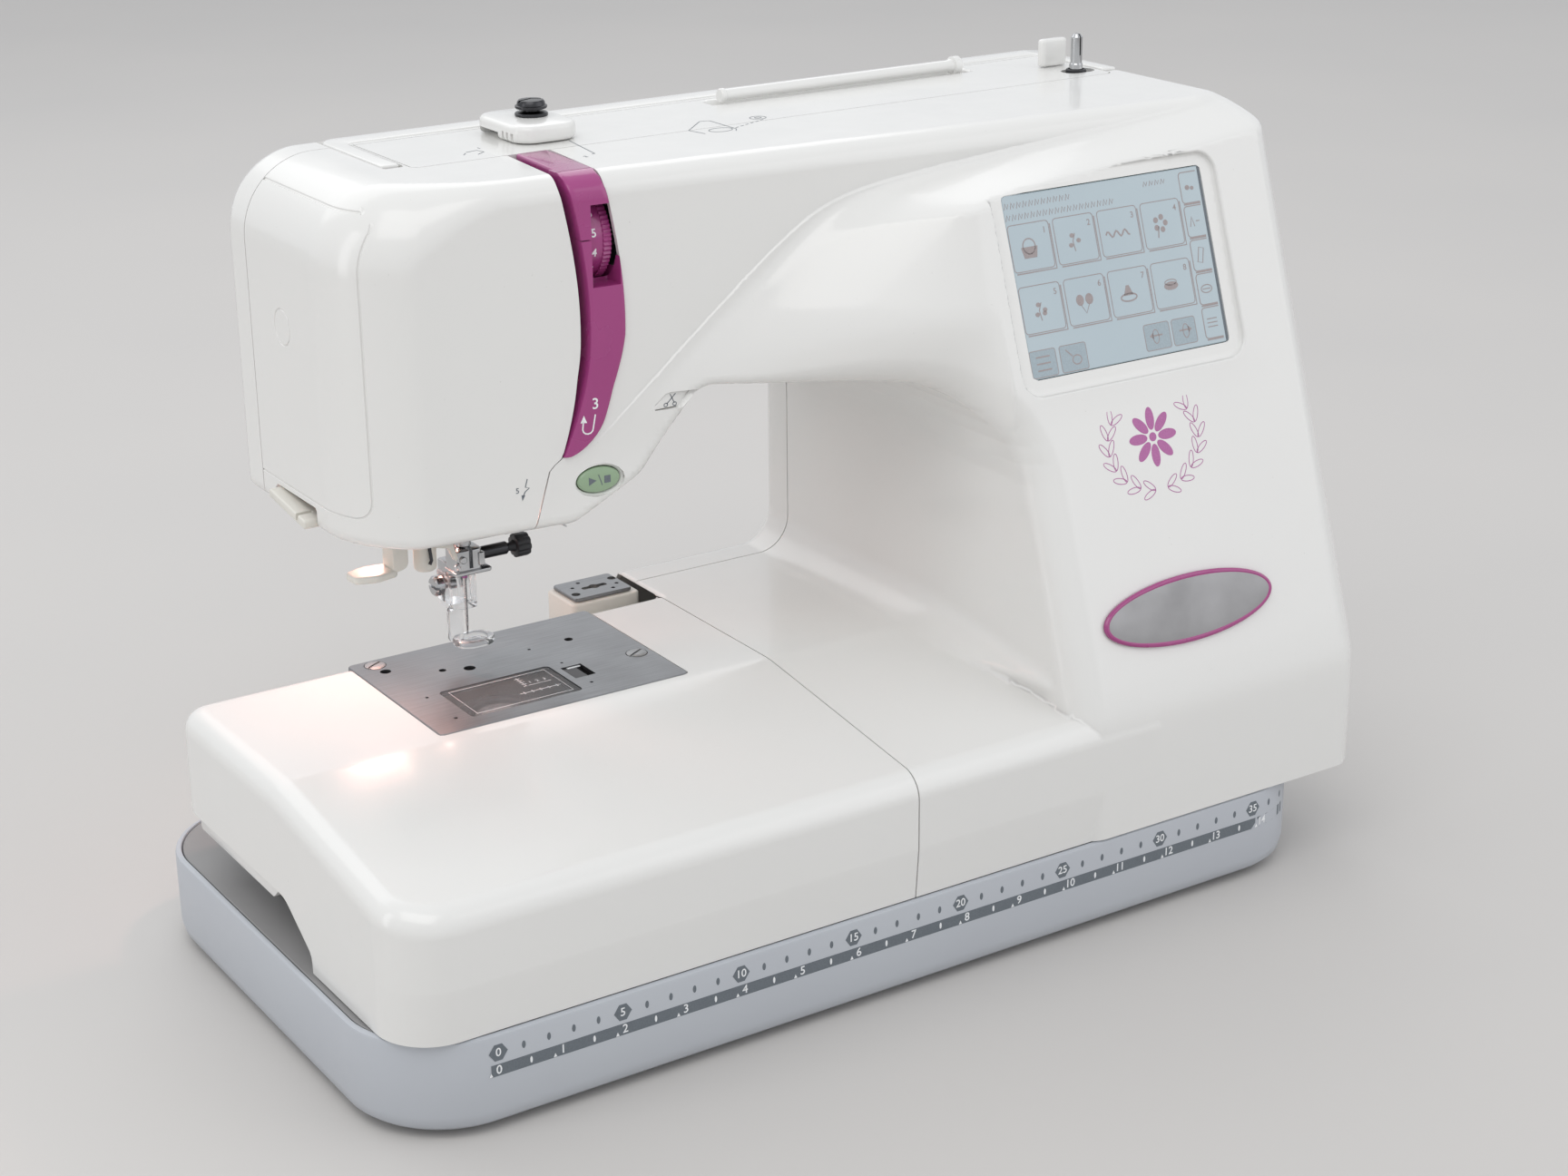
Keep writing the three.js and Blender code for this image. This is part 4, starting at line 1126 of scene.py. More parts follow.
def build_base():
    profile = [(9, 0), (3.5, 0.4), (1, 2.6), (0, 7), (0, 34.6), (0.35, 35.7), (1.2, 36.2), (1.8, 36.3)]
    profile += [(2.2, 36.3), (2.5, 36.0), (2.6, 35.6), (2.6, 32.4), (7, 32.2), (7, 4)]
    tray = smooth(pan("tray", (-40, 0, 390, 229), 40, profile, 24), 40)
    fit(tray, "base_shell", GREY, stands_for=("base_tray",))
    plate = pan("plate", (-37.0, 3.0, 387.0, 226.0), 37.0, [(0, 32.7), (0, 35.8), (0.4, 36.1)], 20)
    recess = block("recess", (-20, 40, 34.4), (44, 165, 40), 3)
    carve(plate, recess)
    rib = soft_block("rib", (-13.5, 44, 33.5), (-10.5, 161, 35.9), 1.4, 0.5)
    gather(plate, rib)
    fit(smooth(plate, 30), "inner_plate", PLATE_GREY, stands_for=("base_top_plate",))
    screw = [(0, 24), (1.3, 24), (1.3, 36.2), (4, 36.2), (4, 36.9), (3.4, 37.4), (0, 37.5)]
    screw = upright("screw", (-14, 200), screw)
    carve(screw, block("slot", (-19, 199.4, 36.8), (-9, 200.6, 39)))
    fit(smooth(screw), "plate_screw", DARK_STEEL, stands_for=("base_plate_screw",))
    for i, (x, y) in enumerate([(0, 40), (350, 40), (0, 190), (350, 190)], start=1):
        shape = [(0, 0.3), (6.4, 0.3), (7, 0), (8.2, 0), (9, 0.8), (9, 3.7), (0, 3.7)]
        foot = lathe("foot", (x, y, -2.7), (0, 0, 1), shape, 40)
        fit(smooth(foot), f"foot_pad_{i}", RUBBER, stands_for=(f"rubber_foot_{i}",))


def build_rulers():
    dark = Print(on_base_front, 0.05)
    left, right, steps = -3, 373, 80
    along = [left + (right - left) * i / steps for i in range(steps + 1)]
    dark.shape([(x, 20.2) for x in along] + [(x, 24.8) for x in along[::-1]])
    for k in range(38):
        x = 10.0 * k
        if k % 5:
            dark.disc((x, 29.4), (0.75, 1.5), 16)
        else:
            sides = ((3.7, 0), (1.5, 3.2), (-1.5, 3.2), (-3.7, 0), (-1.5, -3.2), (1.5, -3.2))
            dark.shape([(x + a, 29.4 + b) for a, b in sides])
    dark.lay("ruler_dark", INK_GREY)
    pale = Print(on_base_front, 0.09)
    for k in range(0, 36, 5):
        pale.text(str(k), (10.0 * k, 29.4), 4.6, 0.04)
    for k in range(15):
        x = 25.4 * k
        pale.text(str(k), (x, 22.5), 4.8, 0.05)
        pale.shape([(x - 3.9, 20.4), (x - 2.5, 20.4), (x - 3.2, 21.9)])
        if k < 14:
            pale.disc((x + 12.7, 22.5), (0.5, 1.3), 16)
    pale.lay("ruler_pale", INK_WHITE)


def soft_block(name, low, high, r, edge, steps=3):
    """An upright block whose top and bottom edges are rounded."""
    profile = []
    for k in range(steps + 1):
        a = math.pi / 2 * k / steps
        profile.append((edge * (1 - math.sin(a)), low[2] + edge * (1 - math.cos(a))))
    for k in range(steps + 1):
        a = math.pi / 2 * k / steps
        profile.append((edge * (1 - math.cos(a)), high[2] - edge * (1 - math.sin(a))))
    return smooth(pan(name, (low[0], low[1], high[0], high[1]), max(r, edge), profile, 8), 50)


# ---------------------------------------------------------------- needle plate and bobbin
def build_plate():
    top = PLATE_TOP
    plate = pan("plate", (36.3, 108.3, 145.7, 191.7), 2, [(0, top - 2.2), (0, top - 0.35), (0.35, top)], 6)
    cuts = [block("window", (54.2, 117, 90), (102.8, 146.5, 110), 2.2)]
    cuts.append(block("release", (105.7, 128.6, 90), (114.8, 141.2, 110), 0.4))
    holes = [(76, 162, 2.4), (66, 166, 1.5), (46.7, 177.7, 2.2), (123.6, 166.7, 1.8), (105, 166, 0.7)]
    holes += [(109, 121.8, 0.7), (48.5, 144.3, 0.7), (48.6, 120, 0.8), (109, 146, 0.6)]
    cuts += [drill((x, y, 90), (0, 0, 1), r, 20, 28) for x, y, r in holes]
    cuts += [drill((x, y, top - 1.0), (0, 0, 1), 4.5, 20, 28) for x, y in ((46, 186), (139, 138))]
    carve(plate, *cuts)
    fit(smooth(plate), "stitch_plate", PLATE_STEEL, stands_for=("needle_plate",))
    for side, x, y in (("left", 46, 186), ("right", 139, 138)):
        shape = [(0, -7), (1.6, -7), (1.6, -0.8), (4.2, -0.8), (4.2, 0.1), (3.4, 0.5), (0, 0.55)]
        screw = upright("screw", (x, y), [(r, top + h) for r, h in shape], 40)
        turned = block("slot", (-5, -0.55, top), (5, 0.55, top + 3))
        turned.data.transform(Matrix.Translation(-Vector(ORIGIN)))
        turned.data.transform(Matrix.Rotation(0.5, 4, "Z"))
        turned.data.transform(Matrix.Translation(Vector(place((x, y, 0)))))
        name = f"needle_plate_screw_{side}"
        fit(smooth(carve(screw, turned)), f"plate_screw_{side}", CASTING, stands_for=(name,))
    edge = [(0.2, top - 1.9), (0, top - 1.7), (0, top - 0.4), (0.3, top - 0.1)]
    lid = pan("lid", (54.5, 117.3, 102.5, 146.2), 2, edge, 6)
    fit(smooth(lid), "bobbin_window", WINDOW, "bobbin_cover_plate", ("bobbin_cover_plate",))
    etched = Print(lambda u, v, w: (u, v, top - 0.1 + w), 0.05)
    etched.path([(57.6, 119.6), (99.6, 119.6), (99.6, 144), (57.6, 144)], 0.3, True)
    etched.path([(86, 142), (86, 133), (97, 133)], 0.3).path([(80, 127), (98, 127)], 0.3)
    for k in range(5):
        etched.path([(82 + 3.6 * k, 125.8), (82 + 3.6 * k, 128.2)], 0.3)
        etched.path([(84.8, 133 + 2 * k), (87.2, 133 + 2 * k)], 0.3)
    for k in range(3):
        etched.text(str(k + 1), (89 + 3.2 * k, 135.6), 2.6)
    etched.lay("etched_lines", INK_WHITE, "bobbin_cover_plate")
    button = soft_block("button", (106.3, 129.3, top - 3), (112, 140.7, top - 0.5), 0.5, 0.3)
    fit(button, "release_tab", BLACK, "cover_release_button", ("cover_release_button",))
    well = block("well", (105, 128, 94.5), (115.6, 142, 95.5), 0.5)
    bevel(well, 0.2)
    catch = soft_block("catch", (108, 139.5, 98), (114.2, 141.0, top - 0.3), 0.4, 0.2)
    fit(catch, "release_catch", STEEL)
    fit(smooth(well), "release_floor", DARK_INSIDE)


def build_bobbin():
    x, y = HOOK_AT
    cup = [(0, 74), (19.4, 74), (20, 74.6), (20, 90.6), (19.6, 91)]
    cup += [(18.9, 91), (18.6, 90.7), (18.6, 76), (0, 76)]
    hook = upright("hook", HOOK_AT, cup, 72)
    notch = [block("n", (x - 2 + 4 * k, y - 22, 84), (x - 1 + 4 * k, y - 17, 92)) for k in (-1, 0, 1)]
    carve(hook, *notch)
    teeth = 16
    gear = []
    for k in range(teeth * 4):
        r = 7.7 if k % 4 in (1, 2) else 6.5
        a = 2 * math.pi * k / (teeth * 4)
        gear.append((x + r * math.cos(a), y + r * math.sin(a)))
    gather(hook, prism("gear", gear, "z", 51, 63), drill((x, y, 47), (0, 0, 1), 4, 28))
    fit(smooth(hook), "hook_race", CHROME, "rotary_hook", ("rotary_hook",))
    wall = [(0, 77), (17.6, 77), (18, 77.4), (18, 93.2), (17.2, 94)]
    wall += [(13.2, 94), (12.6, 93.4), (12.6, 80), (0, 80)]
    holder = upright("holder", HOOK_AT, wall, 72)
    finger = soft_block("finger", (x + 13.2, y - 3, 93.6), (x + 17.4, y + 3, 94.4), 1.0, 0.3)
    carve(holder, block("slit", (x - 16, y - 19, 86), (x - 15.2, y - 10, 95)))
    fit(smooth(gather(holder, finger)), "bobbin_case", BLACK, stands_for=("bobbin_holder",))
    reel = [(3, 81), (10.3, 81), (10.6, 81.3), (10.6, 81.8), (10.2, 82), (4, 82)]
    reel += [(4, 92), (10.2, 92), (10.6, 92.3), (10.6, 92.8), (10.3, 93), (3, 93)]
    body = hollow("reel", HOOK_AT, reel, 64)
    for turn in (0.3, 1.87, 3.44, 5.01):
        carve(body, drill((*oval_at(HOOK_AT, 7.3, turn), 80), (0, 0, 1), 1.2, 20, 16))
    fit(smooth(body), "bobbin_reel", BOBBIN_CLEAR, "bobbin", ("bobbin",))
    coil = [(4.1, 82.1), (8.3, 82.1)]
    coil += [(8.3 + 0.18 * (k % 2), 82.1 + 0.35 * k) for k in range(1, 28)] + [(8.3, 91.9), (4.1, 91.9)]
    thread = upright("thread", HOOK_AT, coil)
    fit(smooth(thread, 60), "bobbin_thread", THREAD, "bobbin")


# ---------------------------------------------------------------- needle, presser and threader
def build_needle():
    x, y = NEEDLE_AT
    bar = rod("bar", (x, y, 153.2), (x, y, 272), 3.2, 0.5, 40)
    swing = outline([(y - 4, 226, 3), (y + 4, 226, 3), (187, 272, 3), (177, 277, 3)])
    link = bevel(prism("link", swing, "x", 81.7, 83.5), 0.3)
    stud = rod("stud", (x, y, 231), (82, y, 231), 2.4)
    fit(smooth(gather(bar, link, stud)), "needle_bar_rod", CHROME, "needle_bar", ("needle_bar",))
    clamp = soft_block("clamp", (x - 6.5, y - 6, 144.2), (x + 5.6, y + 4, 153), 2.2, 0.6)
    carve(clamp, block("c", (x - 0.6, y - 8, 145.4), (x + 1.0, y - 2, 155)))
    lip = soft_block("lip", (x - 7, y - 7, 143), (x + 9, y + 4.1, 144.5), 1.4, 0.4)
    ear = soft_block("ear", (x + 3.4, y - 7, 146), (x + 6, y - 1, 151.4), 0.8, 0.4)
    carve(lip, drill((x + 7, y - 4, 140), (0, 0, 1), 0.8, 8, 16))
    eye = [oval_at((x - 6, 146.5), 1.6, 0.5 * k) for k in range(11)]
    thread_eye = tube("eye", [(u, y - 6.6, w) for u, w in eye], 0.35, 8)
    small_screw = rod("s", (x - 3.4, y - 7.3, 149.6), (x - 3.4, y - 5, 149.6), 1.5, 0.3, 24)
    gather(clamp, lip, ear, thread_eye, small_screw)
    fit(smooth(clamp), "needle_clamp_block", CHROME, "needle_bar", ("needle_clamp",))
    shank = [(0, 115.6), (0.12, 115.8), (0.45, 118.5), (0.55, 121), (0.62, 138.4)]
    shank += [(1.02, 139.6), (1.02, 151.4), (0, 151.5)]
    needle = upright("needle", NEEDLE_AT, shank, 24)
    carve(needle, block("eye", (x - 0.22, y - 3, 119.2), (x + 0.22, y + 3, 121)))
    fit(smooth(needle), "needle_body", STEEL, "needle_bar", ("needle",))
    mark = upright("mark", NEEDLE_AT, [(1.03, 139.7), (1.12, 139.9), (1.12, 142.8), (1.03, 143)], 24)
    fit(smooth(mark), "needle_mark", INK_MAGENTA, "needle_bar")
    z = 148.5
    sleeve = [(0, 6.5), (2.2, 6.5), (2.6, 6.9), (2.6, 18.4), (2.2, 18.9), (0, 18.9)]
    sleeve = lathe("sleeve", (x, y, z), (1, 0, 0), sleeve, 36)
    body = "needle_clamp_screw"
    fit(smooth(sleeve), "clamp_screw_sleeve", DARK_STEEL, body)
    knob = []
    for k in range(72):
        a = 2 * math.pi * k / 72
        r = 4.8 - 0.45 * (0.5 + 0.5 * math.cos(a * 9)) ** 3
        knob.append((y + r * math.cos(a), z + r * math.sin(a)))
    knob = bevel(prism("knob", knob, "x", x + 22, x + 28), 0.5, 2, 50)
    neck = [(0, 18.8), (1.7, 18.8), (1.7, 20), (2.6, 22.2), (0, 22.2)]
    neck = lathe("neck", (x, y, z), (1, 0, 0), neck, 28)
    dome = lathe("dome", (x, y, z), (1, 0, 0), [(0, 27.6), (3.2, 27.6), (2.9, 28), (0, 28)], 36)
    gather(knob, neck, dome)
    fit(smooth(knob), "clamp_screw_knob", BLACK, body, ("needle_clamp_screw",))


def build_presser():
    x, y = PRESSER_AT
    bar = rod("bar", (x, y, 139.4), (x, y, 240), 3.2, 0.4, 40)
    steps = 13 * 16
    coil = [(*oval_at(PRESSER_AT, 4.3, 2 * math.pi * k / 16), 178.7 + 18.6 * k / steps) for k in range(steps)]
    gather(bar, tube("coil", coil, 0.65, 8))
    fit(smooth(bar), "presser_rod", CHROME, "presser_bar", ("presser_bar",))
    ring = soft_block("ring", (70, 155.5, 111.6), (87, 168.5, 114.4), 6.2, 0.9)
    hole = soft_block("hole", (72.6, 157.6, 100), (84.4, 166.4, 120), 4.2, 0.1)
    carve(ring, hole)
    strut = pan("strut", (70.6, 167, 77.2, 169.6), 1.2, [(0.5, 112), (0, 113), (0, 125), (0.4, 126)], 6)
    frame = soft_block("frame", (72, 167, 124), (84, 180, 139), 1.6, 0.8)
    carve(frame, block("gap", (77.5, 165, 127), (80.5, 176, 141)))
    carve(frame, block("low", (73.5, 170, 121), (82.5, 182, 126.5)))
    foot = join(ring, strut, frame)
    fit(smooth(foot), "clear_foot", CLEAR, "presser_bar", ("embroidery_foot",))
    bolt = [(0, 0), (3.4, 0), (4.2, 0.8), (4.2, 3.6), (3.8, 4), (2, 4), (2, 9), (0, 9)]
    bolt = lathe("bolt", (x - 10.5, y - 1, 134), (1, 0, 0), bolt, 40)
    carve(bolt, block("slot", (66, y - 6, 133.4), (69, y + 4, 134.6)))
    fit(smooth(bolt), "foot_screw", CHROME, "presser_bar")
    block_top = soft_block("holder", (72.5, 169, 139), (83.4, 179.6, 143.5), 1.5, 0.5)
    fit(block_top, "foot_holder", CHROME, "presser_bar")
    shape = outline([(80, 175, 2), (110, 166, 2.4), (112, 171, 2.4), (90, 181, 2)])
    lever = bevel(prism("lever", shape, "y", 196, 204), 1.2, 3)
    gather(lever, rod("hub", (84, 188, 178), (84, 204, 178), 4.4, 0.6))
    fit(smooth(lever), "lifter_lever", CREAM, "presser_lifter", ("presser_lifter",))


def build_threader():
    body = "needle_threader"
    shape = [(24.4, 151, 2.6), (33, 148.2, 4), (42.6, 150.4, 2.5)]
    shape += [(43.2, 160, 2.5), (33, 161.8, 4), (24.2, 159.5, 2.6)]
    paddle = bevel(prism("paddle", outline(shape), "z", 150.6, 153.6), 1.0, 3)
    arm = [(40.5, 152, 0.5), (47.0, 153.5, 3), (47.5, 185, 0.5), (41.5, 185, 0.5), (40.5, 158, 3)]
    arm = bevel(prism("arm", outline(arm), "y", 150.5, 160), 1.0, 3)
    barrel = [(0, 149.2), (3.6, 149.2), (4.3, 149.8), (4.5, 150.8), (4.5, 186.2), (0, 186.2)]
    barrel = upright("barrel", THREADER_AT, barrel)
    bridge = soft_block("bridge", (45.9, 153.2, 164.5), (57.2, 158.6, 170.8), 1, 0.6)
    comb = soft_block("comb", (47.6, 150.6, 168), (55, 152.4, 172.5), 0.6, 0.4)
    gather(paddle, arm, barrel, bridge, comb)
    fit(smooth(paddle, 40), "threader_lever", CREAM, body, ("needle_threader",))
    shape = [(58.5, 166, 1), (66, 160, 2), (68.2, 152.5, 0.6)]
    shape += [(66.9, 151.8, 0.4), (64.4, 157.5, 2), (58.5, 159, 1)]
    hook = bevel(prism("hook", outline(shape), "y", 150.4, 153.4), 0.6, 2)
    fit(smooth(hook), "threader_hook_guard", CREAM, body)
    dark = soft_block("dark", (52.6, 149.6, 163), (57.4, 151.4, 172), 0.5, 0.3)
    bent = [(55.6, 150.4, 163), (56.1, 150.2, 158), (56.4, 150, 154.5), (55.4, 149.6, 153.2)]
    gather(dark, tube("pin", bent, 0.7, 10))
    fit(smooth(dark), "threader_hook", DARK_STEEL, body)


def build_head_fittings():
    spine = [(84, 162), (96, 162.3), (104, 162.3), (109, 160.8), (112.3, 158.7)]
    top = [(x, z + 0.9) for x, z in spine][::-1]
    guide = bevel(prism("guide", spine + top, "y", 141, 150), 0.25)
    carve(guide, block("cut", (98, 139, 150), (118, 143.4, 170), 2))
    carve(guide, block("cut", (98, 148.6, 150), (118, 152, 170), 2))
    fit(smooth(guide), "thread_wire", STEEL, stands_for=("lower_thread_guide",))
    lens = soft_block("lens", (42, 176, 175.5), (64, 200, 178), 2, 0.8)
    fit(lens, "lamp_window", LAMP, stands_for=("lamp_lens",))
    blade = outline([(162.2, 172.4, 1.2), (195, 176.9, 1.2), (195, 180.5, 1.2), (162.2, 176.1, 1.2)])
    cutter = bevel(prism("cutter", blade, "x", 10.5, 21), 0.8, 3)
    carve(cutter, block("slit", (9, 168, 174.6), (17, 170, 179)))
    fit(smooth(cutter), "cutter_bump", CREAM, stands_for=("thread_cutter",))
    floor = soft_block("floor", (41, 137, 186.6), (103, 206, 188), 4, 0.3)
    rods = ((NEEDLE_AT, 4.6), (PRESSER_AT, 6), (THREADER_AT, 6))
    openings = [drill((*at, 180), (0, 0, 1), r, 20) for at, r in rods]
    openings += [block("d", (38, 149, 180), (50, 162, 200)), block("e", (79, 186, 180), (101, 210, 200))]
    carve(floor, *openings)
    fit(smooth(floor), "hook_space_ceiling", DARK_INSIDE)


# ---------------------------------------------------------------- thread guide, dial and buttons
PROUD, ROUND_FROM, ROUND_UP, ROUND_BACK = 1.2, 296.0, 9.3, 10.2


def build_guide():
    rows = [GUIDE_FOOT + 3 * (k / 6) ** 2 for k in range(6)] + [202.5 + 102.7 * k / 50 for k in range(51)]
    left = [float(guide_left(min(z, 301.0))) for z in rows]
    right = [float(guide_right(min(z, 301.0))) for z in rows]
    steps = 10

    def front(x, z):
        """The strip stands a little proud of the head, and rounds over to its top."""
        round_over = max(0.0, z - ROUND_FROM) / ROUND_UP
        return float(head_front(x)) - PROUD + ROUND_BACK * (1 - math.sqrt(max(0.0, 1 - round_over**2)))

    loops = []
    for z, a, b in zip(rows, left, right):
        inner = min(0.8, (b - a) / 4)
        flat = b - a - 2 * inner
        across = [a, a + inner * 0.3, a + inner]
        across += [a + inner + flat * k / steps for k in range(1, steps)]
        across += [b - inner, b - inner * 0.3, b]
        fronts = [front(x, z) for x in across]
        fronts[0] += inner
        fronts[1] += inner * 0.3
        fronts[-1] += inner
        fronts[-2] += inner * 0.3
        loops.append([(x, y, z) for x, y in zip(across, fronts)] + [(b, 125.0, z), (a, 125.0, z)])
    strip = rings("strip", loops)
    top = [(101.6, 117.6), (116.1, 117.6), (118, 157.7, 1), (104.5, 157.7, 1), (104.0, 150), (102.2, 126)]
    top = bevel(prism("top", outline(top), "z", 299.4, 305.3), 1.2, 3, 30)
    strip = join(strip, top)
    dial_hole = drill((108.6, *DIAL_AT), (1, 0, 0), 18.2, 12, 64)
    window = block("w", (108.6, 100, 263), (120, 118, 294), 1.0)
    step = block("s", (98, 100, 280.8), (108.7, 110.4, 281.3))
    step_top = block("t", (99, 119.2, 304.9), (118, 119.7, 307))
    carve(strip, dial_hole, window, step, step_top)
    fit(smooth(strip, 30), "guide_strip", MAGENTA, stands_for=("thread_guide_strip",))


def build_dial():
    body = "tension_dial"
    knurl = prism("knurl", toothed(DIAL_AT, 60, 17.4, 16.75, 0.5), "x", 115.2, 118.6)
    band = [(0, 0), (DIAL_R - 0.4, 0), (DIAL_R, 0.4), (DIAL_R, 6.4), (0, 6.4)]
    band = lathe("band", (109, *DIAL_AT), (1, 0, 0), band, 96)
    dial = gather(bevel(knurl, 0.15, 1), band)
    fit(smooth(dial), "tension_wheel", MAGENTA, body, ("tension_dial",))
    numbers = Print(None, 0.05)
    for k in range(10):
        turn = math.pi + math.radians(14 - 26 * (k - 4))
        numbers.put = lambda u, v, w, turn=turn: (111.6 + u, *around_dial(turn, v, w))
        numbers.text(str(k), (0, 0), 4.4, 0.08)
    numbers.lay("dial_numbers", INK_WHITE, body)


def around_dial(turn, v, w):
    """The y and z of a point on the dial's rim, a distance round from a turn and a little out."""
    return oval_at(DIAL_AT, DIAL_R + 0.02 + w, turn - v / DIAL_R)


def build_buttons():
    turn = [2 * math.pi * i / 72 for i in range(72)]

    def ovals(steps):
        loops = []
        for grow, depth in steps:
            edge = [oval_at(START_AT, (START_HALF[0] + grow, START_HALF[1] + grow), a) for a in turn]
            loops.append([(x, float(head_front(x)) + depth, z) for x, z in edge])
        return loops

    rim = ovals([(0.25, 6), (0.25, 1.2), (0.45, 0.5), (1.0, -0.2), (1.5, 0.2), (1.5, 6)])
    collar = rings("collar", rim + [rim[0]], False)
    weld(collar)
    fit(smooth(collar), "start_rim", WHITE)
    button = rings("button", ovals([(0, 8), (0, 0.3), (-0.5, -0.4), (-2.0, -0.75), (-3.6, -0.85)]))
    fit(smooth(button), "start_key", GREEN, "start_stop_button", ("start_stop_button",))
    x, z = START_AT
    y = float(head_front(x))
    mark = Print(lambda u, v, w: (x + u, float(head_front(x + u)) - 0.86 - w, z + v), 0.06)
    mark.shape([(-4.6, -1.5), (-4.6, 1.7), (-1.4, 0.1)])
    mark.path([(0.9, -2.0), (-0.5, 2.2)], 0.35)
    mark.shape([(1.8, -1.4), (4.4, -1.4), (4.4, 1.5), (1.8, 1.5)])
    mark.lay("start_mark", INK_GREY, "start_stop_button")
    key = prism("key", CUTTER_BUTTON, "y", y - 3.4, y + 4)
    body = "thread_cutter_button"
    fit(smooth(bevel(key, 0.5, 3)), "cutter_key", WHITE, body, ("thread_cutter_button",))
    icon = Print(lambda u, v, w: (u, y - 3.42 - w, v), 0.05)
    icon.path([(137.4, 214.0), (141.4, 217.6)], 0.35).path([(140.8, 214.0), (139.0, 217.7)], 0.35)
    icon.ring((137.0, 213.7), (0.8, 0.7), 0.3, 16).ring((140.9, 213.6), (0.8, 0.7), 0.3, 16)
    icon.lay("scissors_mark", INK_GREY, body)


def build_take_up():
    shape = outline([(166, 258, 3), (176, 264, 4), (143, 303, 1.5), (137, 301.5, 1.5), (138.5, 294, 2)])
    arm = bevel(prism("arm", shape, "x", 97.3, 99.2), 0.35, 3)
    carve(arm, drill((96, 140.6, 299.4), (1, 0, 0), 1, 6, 20))
    fit(smooth(arm), "take_up_arm", CHROME, "take_up_lever", ("take_up_lever",))


# ---------------------------------------------------------------- screen, badge and printed marks
def leaning(obj):
    """Turns a piece drawn flat, up towards +z, into the tower's leaning front at the screen's middle."""
    c = 1 / SLOPE
    at = Vector(place(on_lean(0.0, 0.0, 0.0)))
    basis = Matrix(((1, 0, 0), (0, LEAN * c, -c), (0, c, LEAN * c))).to_4x4()
    obj.data.transform(Matrix.Translation(-Vector(ORIGIN)))
    obj.data.transform(basis)
    obj.data.transform(Matrix.Translation(at))
    return obj


def build_screen():
    half_u, half_v = LCD_SIZE[0] / 2, LCD_SIZE[1] / 2
    edge = (-half_u + 0.25, -half_v + 0.25, half_u - 0.25, half_v - 0.25)
    body = pan("screen", edge, 1.8, [(0, -8), (0, -2.3), (0.4, -1.9)], 6)
    leaning(smooth(body))
    fit(body, "screen_body", SCREEN, stands_for=("lcd_panel",))

    def at(across, down):
        """A place on the screen from fractions of its width and height, from its top left corner."""
        return (-half_u + LCD_SIZE[0] * across, half_v - LCD_SIZE[1] * down)

    def area(left, top, right, bottom, r=1.5):
        a, b = at(left, top), at(right, bottom)
        return outline([(a[0], b[1], r), (b[0], b[1], r), (b[0], a[1], r), (a[0], a[1], r)], 4)

    def squiggle(across, end, down, high):
        start, stop = at(across, down), at(end, down)
        for j in range(int((stop[0] - start[0]) / 3.0)):
            u, v = start[0] + 3.0 * j, start[1]
            bends = [(0, -high), (0.7, high), (1.5, -0.8 * high), (2.2, 0.7 * high)]
            lines.path([(u + du, v + dv) for du, dv in bends], 0.32)

    film = 1.9
    # The thin grey strip down the screen's right edge is painted shade where the screen sits below the bezel.
    shade = Print(lambda u, v, w: on_lean(u, v, w - film), 0.1)
    shade.shape(area(0.985, 0.01, 0.996, 0.99, 0.2))
    shade.lay("screen_painted_shade", INK_GREY)
    lines = Print(lambda u, v, w: on_lean(u, v, w - film), 0.06)
    fill = Print(lambda u, v, w: on_lean(u, v, w - film), 0.04)
    for k in range(8):
        column, row = k % 4, k // 4
        left, top = 0.008 + 0.219 * column, (0.163, 0.497)[row]
        right, bottom = left + 0.197, top + 0.253
        lines.path(area(left, top, right, bottom), 0.32, True)
        low, side = bottom + 0.01, right + 0.006
        lines.path([at(left + 0.01, low), at(side, low), at(side, top + 0.02)], 0.5)
        lines.text(str(k + 1), at(right - 0.024, top + 0.05), 3.4, 0.03)
        draw_icon(lines, k, *at((left + right) / 2 - 0.01, (top + bottom) / 2 + 0.01))
    for k in range(5):
        top = 0.03 + 0.19 * k
        a, b = at(0.885, top), at(0.975, top + 0.172)
        lines.path(outline([(b[0], a[1]), (a[0], a[1], 1.5), (a[0], b[1], 1.5), (b[0], b[1])], 4), 0.4)
        lines.path([(a[0] + 0.5, b[1] - 0.5), (b[0], b[1] - 0.5)], 0.6)
        draw_tab(lines, k, (a[0] + b[0]) / 2, (a[1] + b[1]) / 2)
    keys = ((0.004, 0.13, 0.843), (0.15, 0.28, 0.843), (0.577, 0.705, 0.82), (0.72, 0.84, 0.82))
    for k, (left, right, top) in enumerate(keys):
        bottom = top + 0.145
        fill.shape(area(left, top, right, bottom, 1.0))
        lines.path(area(left, top, right, bottom, 1.0), 0.3, True)
        draw_key(lines, k, *at((left + right) / 2, (top + bottom) / 2))
    squiggle(0.01, 0.35, 0.06, 1.2)
    squiggle(0.01, 0.55, 0.122, 1.2)
    squiggle(0.70, 0.82, 0.06, 1.0)
    lines.lay("screen_lines", INK_BROWN)
    fill.lay("screen_tiles", INK_TILE)


